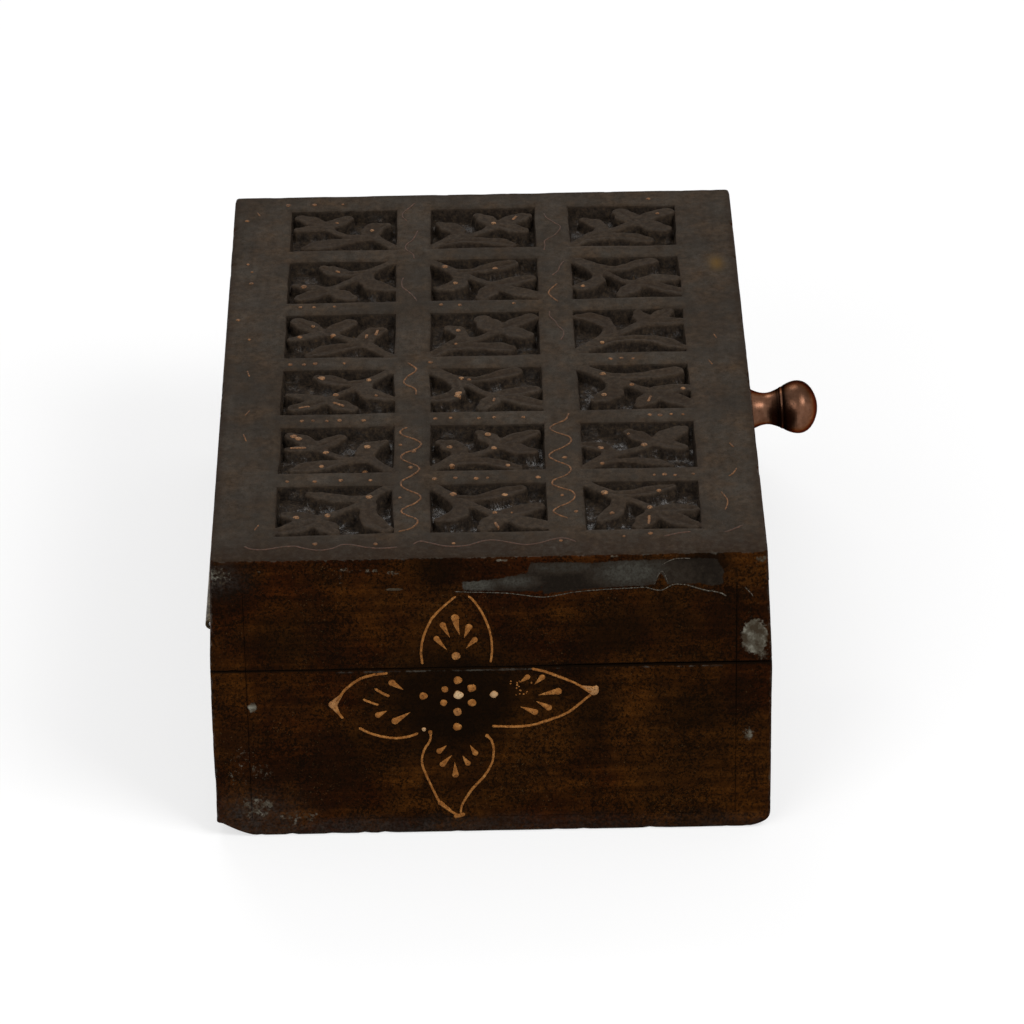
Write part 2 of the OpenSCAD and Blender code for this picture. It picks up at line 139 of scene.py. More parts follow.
class Nodes:
    """Short ways to make the nodes that the materials use."""

    def __init__(self, nt):
        self.nt = nt
        self.coords = nt.nodes.new("ShaderNodeTexCoord").outputs["Object"]

    def link(self, a, b):
        self.nt.links.new(a, b)

    def feed(self, socket, value):
        """Sets the socket where the value is a constant, and otherwise links it."""
        if isinstance(value, tuple):
            socket.default_value = (*value, 1)
        elif isinstance(value, (int, float)):
            socket.default_value = value
        else:
            self.link(value, socket)

    def attr(self, name):
        """A number that the mesh keeps for each point."""
        n = self.nt.nodes.new("ShaderNodeAttribute")
        n.attribute_name = name
        return n.outputs["Fac"]

    def scaled(self, stretch):
        n = self.nt.nodes.new("ShaderNodeMapping")
        n.inputs["Scale"].default_value = stretch
        self.link(self.coords, n.inputs["Vector"])
        return n.outputs["Vector"]

    def noise(self, size_mm, detail=4.0, rough=0.55, stretch=None, distortion=0.0):
        """Noise with features of about size_mm."""
        n = self.nt.nodes.new("ShaderNodeTexNoise")
        n.inputs["Scale"].default_value = 1 / (size_mm * MM)
        n.inputs["Detail"].default_value = detail
        n.inputs["Roughness"].default_value = rough
        n.inputs["Distortion"].default_value = distortion
        self.link(self.scaled(stretch) if stretch else self.coords, n.inputs["Vector"])
        return n.outputs["Fac"]

    def ramp(self, value, stops):
        """Colour ramp; stops are (position, colour or grey)."""
        n = self.nt.nodes.new("ShaderNodeValToRGB")
        e = n.color_ramp.elements
        while len(e) < len(stops):
            e.new(0.5)
        for k, (pos, col) in enumerate(stops):
            e[k].position = pos
            e[k].color = (*col, 1) if isinstance(col, tuple) else (col, col, col, 1)
        self.link(value, n.inputs["Fac"])
        return n.outputs["Color"]

    def step(self, value, low, high, start=0.0, end=1.0):
        """Runs from start to end while the value runs from low to high."""
        return self.ramp(value, [(low, start), (high, end)])

    def math(self, op, a, b):
        n = self.nt.nodes.new("ShaderNodeMath")
        n.operation = op
        self.feed(n.inputs[0], a)
        self.feed(n.inputs[1], b)
        return n.outputs["Value"]

    def add(self, a, b):
        return self.math("ADD", a, b)

    def times(self, a, b):
        return self.math("MULTIPLY", a, b)

    def sway(self, gain, *noise):
        """Noise about zero, times the gain."""
        return self.times(self.math("SUBTRACT", self.noise(*noise), 0.5), gain)

    def mix(self, fac, a, b):
        """Colour a where fac is 0, b where it is 1."""
        n = self.nt.nodes.new("ShaderNodeMix")
        n.data_type = "RGBA"
        for socket, value in ((n.inputs[0], fac), (n.inputs[6], a), (n.inputs[7], b)):
            self.feed(socket, value)
        return n.outputs[2]

    def blend(self, share, a, b):
        """Number a where the share is 0, b where it is 1."""
        return self.add(self.times(self.math("SUBTRACT", 1.0, share), a), self.times(share, b))

    def any_of(self, *values):
        """The greatest of the values."""
        top = values[0]
        for value in values[1:]:
            top = self.math("MAXIMUM", top, value)
        return top

    def bump(self, height, distance_mm, strength):
        n = self.nt.nodes.new("ShaderNodeBump")
        n.inputs["Strength"].default_value = strength
        n.inputs["Distance"].default_value = distance_mm * MM
        self.link(height, n.inputs["Height"])
        return n.outputs["Normal"]

    def dress(self, shader, colour, roughness, normal):
        """Links what a surface shows to its shader."""
        self.link(colour, shader.inputs["Base Color"])
        self.link(roughness, shader.inputs["Roughness"])
        self.link(normal, shader.inputs["Normal"])


def tree(name):
    """A new node material, the maker of its nodes, and its shader."""
    m = bpy.data.materials.new(name)
    m.use_nodes = True
    return m, Nodes(m.node_tree), m.node_tree.nodes["Principled BSDF"]


# Linear colours: a RAMP is (place on the noise, colour), the others are single
GOLD_RAMP = [(0.36, (0.0147, 0.0045, 0.0008)), (0.50, (0.0396, 0.0127, 0.0020)),
             (0.64, (0.0757, 0.0258, 0.0041))]
RED_RAMP = [(0.36, (0.0079, 0.0023, 0.0008)), (0.50, (0.0192, 0.0050, 0.0011)),
            (0.64, (0.0429, 0.0111, 0.0020))]
LACQUER_CLOUD = (0.0070, 0.0034, 0.0015)
LACQUER_SPECK = (0.0038, 0.0019, 0.0008)
LACQUER_FLECK = (0.1186, 0.0723, 0.0305)
# Colour of the stains, and of the painted shade along the parting line
LACQUER_STAIN_AND_SHADE = (0.0041, 0.0021, 0.0009)
DUST_RAMP = [(0.40, (0.0119, 0.0088, 0.0070)), (0.60, (0.0339, 0.0282, 0.0243))]
RUBBED_RAMP = [(0.40, (0.0181, 0.0124, 0.0090)), (0.62, (0.0588, 0.0531, 0.0429))]
PRIMER_RAMP = [(0.05, (0.0096, 0.0073, 0.0054)), (0.35, (0.0215, 0.0164, 0.0119)),
               (0.65, (0.0294, 0.0260, 0.0209)), (1.0, (0.0497, 0.0472, 0.0390))]
PRIMER_GRIT = (0.0136, 0.0096, 0.0068)
CHALK_RAMP = [(0.42, (0.0384, 0.0282, 0.0181)), (0.54, (0.0746, 0.0655, 0.0486)),
              (0.66, (0.1638, 0.1548, 0.1243))]
WOOD_RAMP = [(0.32, (0.0708, 0.0354, 0.0165)), (0.52, (0.1475, 0.0779, 0.0366)),
             (0.70, (0.2183, 0.1227, 0.0614))]
WOOD_PORE = (0.0378, 0.0189, 0.0094)
FACE_RAMP = [(0.38, (0.0206, 0.0154, 0.0112)), (0.47, (0.0300, 0.0240, 0.0180)),
             (0.55, (0.0394, 0.0320, 0.0248)), (0.66, (0.0569, 0.0465, 0.0364))]
FACE_GRIT = (0.0100, 0.0069, 0.0050)
FACE_FLECK = (0.0875, 0.0713, 0.0562)
FACE_BROWN_RAMP = [(0.36, (0.0231, 0.0144, 0.0081)), (0.62, (0.0537, 0.0340, 0.0198))]
FACE_CLOUD = (0.0187, 0.0147, 0.0112)
LEAF_RAMP = [(0.36, (0.0131, 0.0090, 0.0063)), (0.50, (0.0281, 0.0202, 0.0140)),
             (0.62, (0.0513, 0.0356, 0.0238))]
GILT = (0.1000, 0.0562, 0.0150)
# The pockets' own dark colour, which also serves as painted shade in their depths
PIT_SHADE_RAMP = [(0.36, (0.0057, 0.0044, 0.0036)), (0.50, (0.0198, 0.0145, 0.0107)),
            (0.62, (0.0400, 0.0275, 0.0175)), (0.74, (0.0938, 0.0562, 0.0213))]
# Grime with painted shade at the top's edges, its near margin and the pockets' lips
CARVED_GRIME_AND_SHADE = (0.0181, 0.0106, 0.0063)


def sound_lacquer(n, grain):
    """Gold and reddish mottle, with clouds, specks, flecks, stains, painted shade along the parting line,
    and dust.
    """
    mottle = n.add(n.times(n.noise(2.2, 6, 0.8), 0.55), n.times(grain, 0.45))
    reddish = n.step(n.noise(38, 3, 0.6), 0.44, 0.58)
    coat = n.mix(reddish, n.ramp(mottle, GOLD_RAMP), n.ramp(mottle, RED_RAMP))
    clouds = n.step(n.noise(17, 3, 0.6), 0.38, 0.60)
    coat = n.mix(n.times(clouds, 0.45), coat, LACQUER_CLOUD)
    speck = n.add(n.noise(0.85, 4, 0.75), n.sway(0.26, 14, 2))
    coat = n.mix(n.step(speck, 0.42, 0.52, 0.88, 0.0), coat, LACQUER_SPECK)
    fleck = n.add(n.noise(0.6, 2, 0.5), n.sway(0.25, 21, 3))
    coat = n.mix(n.step(fleck, 0.68, 0.76, 0.0, 0.32), coat, LACQUER_FLECK)
    # Stains, joints and painted shade along the parting line
    coat = n.mix(n.attr("dark"), coat, LACQUER_STAIN_AND_SHADE)
    film = n.times(n.attr("dust"), n.step(n.noise(2.6, 5, 0.7), 0.36, 0.60, 0.35, 1.0))
    return n.mix(film, coat, n.ramp(n.noise(0.9, 3, 0.7), DUST_RAMP))


def worn_lacquer(n, coat, primer):
    """The coat rubbed at the edges, flaked to the primer, and chipped."""
    rub = n.add(n.attr("edge"), n.sway(1.9, 2.2, 5, 0.7))
    coat = n.mix(n.step(rub, 0.78, 1.0, 0.0, 0.65), coat, n.ramp(n.noise(4, 3), RUBBED_RAMP))
    bare = n.add(n.attr("bare"), n.sway(1.2, 2.0, 6, 0.75))
    grit = n.step(n.noise(0.8, 4, 0.7), 0.40, 0.52, 0.55, 0.0)
    coat = n.mix(primer, coat, n.mix(grit, n.ramp(bare, PRIMER_RAMP), PRIMER_GRIT))
    chalk = n.step(n.add(n.attr("chalk"), n.sway(0.9, 1.2, 4, 0.7)), 0.48, 0.62)
    return n.mix(chalk, coat, n.ramp(n.noise(3.4, 5, 0.6), CHALK_RAMP))


def lacquer():
    """Dark golden-brown lacquer over wood, speckled with black, reddish in places,
    worn at the edges, chipped to a grey primer, and painted shade along the parting line."""
    m, n, bsdf = tree("dark_lacquer")
    grain = n.noise(4, 4, 0.6, stretch=(0.10, 0.10, 1.5))
    primer = n.step(n.add(n.attr("chip"), n.sway(0.95, 1.5, 5, 0.75)), 0.44, 0.58)
    coat = worn_lacquer(n, sound_lacquer(n, grain), primer)
    height = n.add(n.times(n.noise(1.3, 5, 0.6), 0.6), n.times(grain, 0.5))
    height = n.math("SUBTRACT", height, n.times(primer, 0.6))
    polish = n.step(n.noise(6, 4, 0.6), 0.35, 0.65, 0.34, 0.52)
    n.dress(bsdf, coat, polish, n.bump(height, 0.18, 0.7))
    bsdf.inputs["Specular IOR Level"].default_value = 0.008
    return m


def inner_wood():
    """Unpainted inside of the boards, stained brown, with straight grain."""
    m, n, bsdf = tree("inner_wood")
    crosswise = n.attr("crosswise")
    grain = n.blend(crosswise, n.noise(3.2, 6, 0.62, (0.06, 1.0, 1.0), 0.6),
                    n.noise(3.2, 6, 0.62, (1.0, 0.06, 1.0), 0.6))
    pores = n.blend(crosswise, n.noise(0.8, 4, 0.6, (0.05, 1.0, 1.0)),
                    n.noise(0.8, 4, 0.6, (1.0, 0.05, 1.0)))
    tone = n.mix(n.step(pores, 0.36, 0.46, 0.55, 0.0), n.ramp(grain, WOOD_RAMP), WOOD_PORE)
    polish = n.step(grain, 0.3, 0.7, 0.72, 0.58)
    n.dress(bsdf, tone, polish, n.bump(n.add(grain, pores), 0.12, 0.6))
    bsdf.inputs["Specular IOR Level"].default_value = 0.3
    return m


def carved_face(n, fine, grit):
    """Colour of the top's bars, margins and leaves."""
    grain = n.noise(3, 4, 0.6, stretch=(0.10, 1.3, 1.0))
    mottle = n.add(n.times(n.noise(30, 3, 0.6), 0.4), n.times(fine, 0.4))
    face = n.ramp(n.add(mottle, n.times(grain, 0.2)), FACE_RAMP)
    face = n.mix(n.step(grit, 0.34, 0.42, 0.6, 0.0), face, FACE_GRIT)
    face = n.mix(n.step(n.noise(0.7, 2), 0.66, 0.72, 0.0, 0.4), face, FACE_FLECK)
    brown = n.step(n.noise(13, 5, 0.75), 0.40, 0.66, 0.0, 0.9)
    face = n.mix(brown, face, n.ramp(fine, FACE_BROWN_RAMP))
    face = n.mix(n.step(n.noise(24, 4, 0.65), 0.40, 0.56, 0.42, 0.0), face, FACE_CLOUD)
    leaf = n.ramp(n.noise(1.6, 5, 0.75), LEAF_RAMP)
    face = n.mix(n.times(n.attr("leaf"), 0.60), face, leaf)
    return n.mix(n.attr("gilt"), face, GILT)


def carved_finish():
    """Matte grey-brown top, dusty and hand-rubbed, with dark, glossier pockets deepened by
    painted shade, and grime with painted shade at the edges, the near margin and the pockets' lips.
    """
    m, n, bsdf = tree("carved_top")
    deep = n.attr("deep")
    fine = n.noise(2.4, 5, 0.7)
    grit = n.noise(0.6, 3, 0.6)
    # Painted shade in the pockets: the face gives way to this dark colour as the surface goes deeper
    pit_shade = n.ramp(n.noise(1.8, 6, 0.85), PIT_SHADE_RAMP)
    tone = n.mix(n.step(deep, 0.11, 0.26), carved_face(n, fine, grit), pit_shade)
    # Grime with painted shade at the top's edges, near margin and pockets' lips
    grime_and_shade = n.times(n.attr("edge"), n.step(n.noise(2.0, 4, 0.7), 0.35, 0.6, 0.25, 0.9))
    tone = n.mix(grime_and_shade, tone, CARVED_GRIME_AND_SHADE)
    height = n.add(n.times(fine, 0.6), n.times(grit, 0.3))
    polish = n.step(n.noise(5, 4, 0.6), 0.3, 0.7, 0.60, 0.76)
    n.dress(bsdf, tone, polish, n.bump(height, 0.22, 0.8))
    bsdf.inputs["Specular IOR Level"].default_value = 0.03
    pooled = n.times(n.step(n.noise(6.5, 5, 0.8), 0.49, 0.60), n.attr("wet"))
    n.link(n.times(n.step(deep, 0.30, 0.60, 0.0, 0.9), pooled), bsdf.inputs["Coat Weight"])
    bsdf.inputs["Coat Roughness"].default_value = 0.2
    n.link(n.bump(n.noise(1.0, 4, 0.7), 0.26, 1.0), bsdf.inputs["Coat Normal"])
    return m


def relief_paint(name, low, mid, high, crown, dirt, dirt_share):
    """Relief paint: three tones, paler crowns, and dirt on its share of the surface."""
    m, n, bsdf = tree(name)
    tone = n.ramp(n.noise(1.6, 4, 0.6), [(0.34, low), (0.52, mid), (0.68, high)])
    tone = n.mix(n.attr("pale"), tone, crown)
    dirty = n.step(n.noise(0.6, 3), dirt_share - 0.05, dirt_share + 0.05, 0.8, 0.0)
    polish = n.step(n.noise(1.2, 3), 0.3, 0.7, 0.36, 0.58)
    n.dress(bsdf, n.mix(dirty, tone, dirt), polish, n.bump(n.noise(0.5, 3), 0.05, 0.6))
    bsdf.inputs["Specular IOR Level"].default_value = 0.05
    return m


def metal(name, dark, mid, light, rough, spot_mm, dirt=(0.02, 0.012, 0.008), dirt_and_shade_attr=None,
          pitted=0.5, rim=(1, 1, 1)):
    """Tarnished metal: three tones, dirt specks and a roughness between two ends,
    darker where the named attribute says so (dirt with painted shade on the knob),
    and tinted by rim at a grazing angle."""
    m, n, bsdf = tree(name)
    tarnish = n.noise(spot_mm, 5, 0.68)
    tone = n.ramp(tarnish, [(0.34, dark), (0.50, mid), (0.68, light)])
    tone = n.mix(n.step(n.noise(spot_mm * 0.35, 4, 0.7), 0.30, 0.40, 0.8, 0.0), tone, dirt)
    # On the knob, this attribute is dirt with painted shade
    if dirt_and_shade_attr:
        tone = n.mix(n.attr(dirt_and_shade_attr), tone, dirt)
    polish = n.step(tarnish, 0.3, 0.7, rough[1], rough[0])
    n.dress(bsdf, tone, polish, n.bump(n.noise(spot_mm * 0.2, 4, 0.6), 0.04, pitted))
    bsdf.inputs["Metallic"].default_value = 1.0
    bsdf.inputs["Specular Tint"].default_value = (*rim, 1)
    return m


LACQUER = lacquer()
INNER = inner_wood()
CARVED = carved_finish()
PAINT = relief_paint("relief_paint", (0.1525, 0.0542, 0.0113), (0.2429, 0.0960, 0.0226),
                     (0.3277, 0.1469, 0.0407), (0.6328, 0.4746, 0.2825),
                     (0.0384, 0.0169, 0.0068), 0.39)
FAINT = relief_paint("faint_relief_paint", (0.0425, 0.0238, 0.0163), (0.0675, 0.0350, 0.0238),
                     (0.0950, 0.0500, 0.0338), (0.1250, 0.0725, 0.0500),
                     (0.0350, 0.0250, 0.0175), 0.47)
RUBBED = relief_paint("rubbed_relief_paint", (0.0725, 0.0325, 0.0150), (0.1375, 0.0625, 0.0263),
                      (0.2125, 0.1025, 0.0450), (0.3375, 0.1875, 0.0925),
                      (0.0375, 0.0250, 0.0163), 0.46)
PEELING = relief_paint("peeling_primer", (0.0294, 0.0203, 0.0136), (0.0633, 0.0520, 0.0384),
                       (0.1186, 0.1107, 0.0904), (0.1921, 0.1865, 0.1582),
                       (0.0136, 0.0079, 0.0034), 0.50)
# The knob's bronze darkens round its ring, down its neck and on its crown: dirt with painted shade
BRONZE = metal("bronze_patina", (0.110, 0.050, 0.028), (0.142, 0.066, 0.039),
               (0.182, 0.091, 0.055), (0.28, 0.35), 3.0, dirt_and_shade_attr="grime_and_shade", pitted=0.15,
               rim=(0.24, 0.17, 0.13))
HINGE = metal("tarnished_brass", (0.022, 0.015, 0.008), (0.060, 0.043, 0.022),
              (0.160, 0.122, 0.066), (0.36, 0.58), 2.0)
SCREW = metal("screw_brass", (0.18, 0.12, 0.05), (0.38, 0.27, 0.12), (0.58, 0.44, 0.22),
              (0.28, 0.5), 1.2)
STEEL = metal("dull_steel", (0.10, 0.095, 0.09), (0.26, 0.25, 0.245), (0.42, 0.41, 0.40),
              (0.34, 0.6), 1.2, dirt=(0.05, 0.022, 0.01))


# ------------------------------------------------------------- mesh building

END_INSET = 0.6                      # how far the left end is drawn in
TOP_DROP = 0.3                       # how far the carved face is let down
SHARP = math.radians(50)             # edges sharper than this aren't smoothed
EDGE_RUN, EDGE_GRID = 1.6, 0.4       # how wide and how fine a board's edge is cut
CORNER_R, RIM_R, BOARD_R = 1.5, 0.55, 0.22       # upright corners, parting line, boards
TOP_CORNER_R, TOP_RIM_R, FOOT_R = 2.6, 1.4, 0.8  # the top's corners and rim, the ends' foot


def settle(points):
    """Draws the left end in and lets the carved face down, so that the paint on them
    stays inside the frame's box."""
    points = np.array(points, float)
    points[:, 0] += END_INSET * (1 - smooth(points[:, 0], -HALF_L + 0.6, -HALF_L + 10))
    points[:, 2] -= TOP_DROP * smooth(points[:, 2], SEAT_Z + 1.5, SEAT_Z + 6)
    return points


def scene_object(name, data):
    """A new object of the scene."""
    made = bpy.data.objects.new(name, data)
    bpy.context.scene.collection.objects.link(made)
    return made


def mesh_object(name, verts_mm, faces):
    """A new mesh object from points in millimetres."""
    mesh = bpy.data.meshes.new(name)
    mesh.from_pydata((np.asarray(verts_mm) * MM).tolist(), [], faces)
    return scene_object(name, mesh)


def new_piece(name, verts_mm, faces, body, materials, face_material=None):
    """A visible piece from points in millimetres, riding on a body."""
    piece = mesh_object(name, settle(verts_mm), faces)
    for m in materials:
        piece.data.materials.append(m)
    if face_material is not None:
        piece.data.polygons.foreach_set("material_index", np.asarray(face_material, np.int32))
    piece.data.shade_smooth()
    piece.data.set_sharp_from_angle(angle=SHARP)
    piece.data.update()
    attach(piece, body)
    return piece


def put(piece, name, values):
    """Stores one number for each point, for the materials."""
    a = piece.data.attributes.new(name, "FLOAT", "POINT")
    a.data.foreach_set("value", np.asarray(values, np.float32))


def face_outward(piece):
    """Turns all faces of a closed piece outward."""
    bm = bmesh.new()
    bm.from_mesh(piece.data)
    bmesh.ops.recalc_face_normals(bm, faces=bm.faces)
    bm.to_mesh(piece.data)
    bm.free()


def steps(low, high, size, edge, edge_size):
    """Grid lines from low to high about size apart, closer within edge of the ends."""
    close = int(math.ceil(edge / edge_size)) + 1
    wide = max(2, int(round((high - low - 2 * edge) / size)) + 1)
    return np.concatenate([np.linspace(low, low + edge, close)[:-1],
                           np.linspace(low + edge, high - edge, wide),
                           np.linspace(high - edge, high, close)[1:]])


def sheet_quads(sheet):
    """Four-sided faces over a sheet of point numbers."""
    corners = [sheet[:-1, :-1], sheet[1:, :-1], sheet[1:, 1:], sheet[:-1, 1:]]
    return np.stack(corners, -1).reshape(-1, 4)


def ring_faces(rings, tip):
    """Faces over closed rings of point numbers, a fan from the first one to the tip
    and one face across the last one."""
    closed = np.concatenate([rings, rings[:, :1]], 1)
    fan = [[tip, a, b] for a, b in zip(closed[0, :-1].tolist(), closed[0, 1:].tolist())]
    return fan + sheet_quads(closed).tolist() + [rings[-1].tolist()]


def lattice_box(xs, ys, zs):
    """Closed surface of a box whose faces are cut along the given grid lines.
    Returns points, faces and each point's grid place."""
    shape = (len(xs), len(ys), len(zs))
    ids = -np.ones(shape, np.int64)
    shell = np.zeros(shape, bool)
    shell[[0, -1], :, :] = True
    shell[:, [0, -1], :] = True
    shell[:, :, [0, -1]] = True
    place = np.argwhere(shell)
    ids[shell] = np.arange(len(place))
    points = np.stack([xs[place[:, 0]], ys[place[:, 1]], zs[place[:, 2]]], 1)
    faces = np.concatenate([
        sheet_quads(ids[0])[:, ::-1], sheet_quads(ids[-1]),
        sheet_quads(ids[:, 0]), sheet_quads(ids[:, -1])[:, ::-1],
        sheet_quads(ids[:, :, 0])[:, ::-1], sheet_quads(ids[:, :, -1])])
    return points, faces, place


def round_off(points, low, high, radius, axes=(0, 1, 2)):
    """Rounds the edges of the box low..high with the radius, across the axes."""
    axes = list(axes)
    q = points[:, axes]
    core = np.clip(q, np.asarray(low)[axes] + radius, np.asarray(high)[axes] - radius)
    d = q - core
    size = np.linalg.norm(d, axis=1)
    out = size > radius
    q[out] = core[out] + d[out] / size[out][:, None] * radius
    points[:, axes] = q
    return points


def box_between(low_z, high_z):
    """Corners of the box's outline between two heights."""
    return np.array([-HALF_L, -HALF_W, low_z]), np.array([HALF_L, HALF_W, high_z])


def to_segment(p, a, b):
    """How far along the segment a..b, from 0 to 1, and how far off it the points are."""
    ab = b - a
    t = np.clip(((p - a) @ ab) / (ab @ ab), 0, 1)
    return t, np.linalg.norm(p - a - t[:, None] * ab, axis=1)


def exterior_edge(points, z_edges):
    """Distance to the nearest outer edge of the box, with edges at the z_edges levels."""
    dx = HALF_L - np.abs(points[:, 0])
    dy = lid_y(np.maximum(points[:, 2], RIM_Z)) - np.abs(points[:, 1])
    found = [np.sort(np.stack([dx, dy, np.abs(points[:, 2] - z)], 1), axis=1)[:, 1] for z in z_edges]
    return np.minimum.reduce(found)


def batter(points, low, high, edge, seed, depth):
    """Knocks small chips and dents into the edges of the box low..high."""
    core = np.clip(points, np.asarray(low) + 4, np.asarray(high) - 4)
    inward = core - points
    length = np.maximum(np.linalg.norm(inward, axis=1), 1e-6)
    chip = smooth(fbm(points, 5.0, 3, seed), 0.42, 0.85) * (1 - smooth(edge, 0.4, 2.6))
    chip = chip * (1 - 0.8 * smooth(points[:, 0], HALF_L - 8, HALF_L - 3))
    dent = 0.12 * (fbm(points, 9, 2, seed + 5)) * (1 - smooth(edge, 1.0, 5.0))
    return points + inward / length[:, None] * (depth * chip + np.maximum(dent, 0))[:, None]


# ---------------------------------------------------------------- carved top

ROWS, COLS = 6, 3
POCKETS = [(i, j) for i in range(ROWS) for j in range(COLS)]
LEFT_BORDER, RIGHT_BORDER, SIDE_BORDER = 16.4, 11.4, 19.8
ROW_BAR, COL_BAR = 8.6, 11.6
POCKET_D = 4.6
CARVED_Y = lid_y(TOP_Z)
POCKET_L = (2 * HALF_L - LEFT_BORDER - RIGHT_BORDER - (ROWS - 1) * ROW_BAR) / ROWS
POCKET_W = (2 * CARVED_Y - 2 * SIDE_BORDER - (COLS - 1) * COL_BAR) / COLS
WALL_RUN = 0.45                      # how far a pocket's wall slopes
GRID = 0.36                          # grid inside the pockets
BAR_GRID = 1.0                       # grid on the bars and borders
RIM_LINES = (0.35, 0.8, 1.4)         # fine grid lines at the board's edges
LIP_LINES = (0.3, 0.8)               # fine grid lines outside a pocket's wall
LIP_DROP, LIP_REACH = 0.34, 1.5      # how far a pocket's worn lip is let down, and its width
NEAR_ROWS = 4                        # rows with sprigs of their own, which the far ones repeat


def pocket_corner(i, j):
    """Lowest X and highest Y of pocket row i (from the left end), column j (from the back)."""
    return (-HALF_L + LEFT_BORDER + i * (POCKET_L + ROW_BAR),
            CARVED_Y - SIDE_BORDER - j * (POCKET_W + COL_BAR))


def pocket_inside(x, y, i, j):
    """Distance inside pocket i, j, negative outside."""
    cx, cy = pocket_corner(i, j)
    return np.minimum.reduce([x - cx, cx + POCKET_L - x, cy - y, y - cy + POCKET_W])


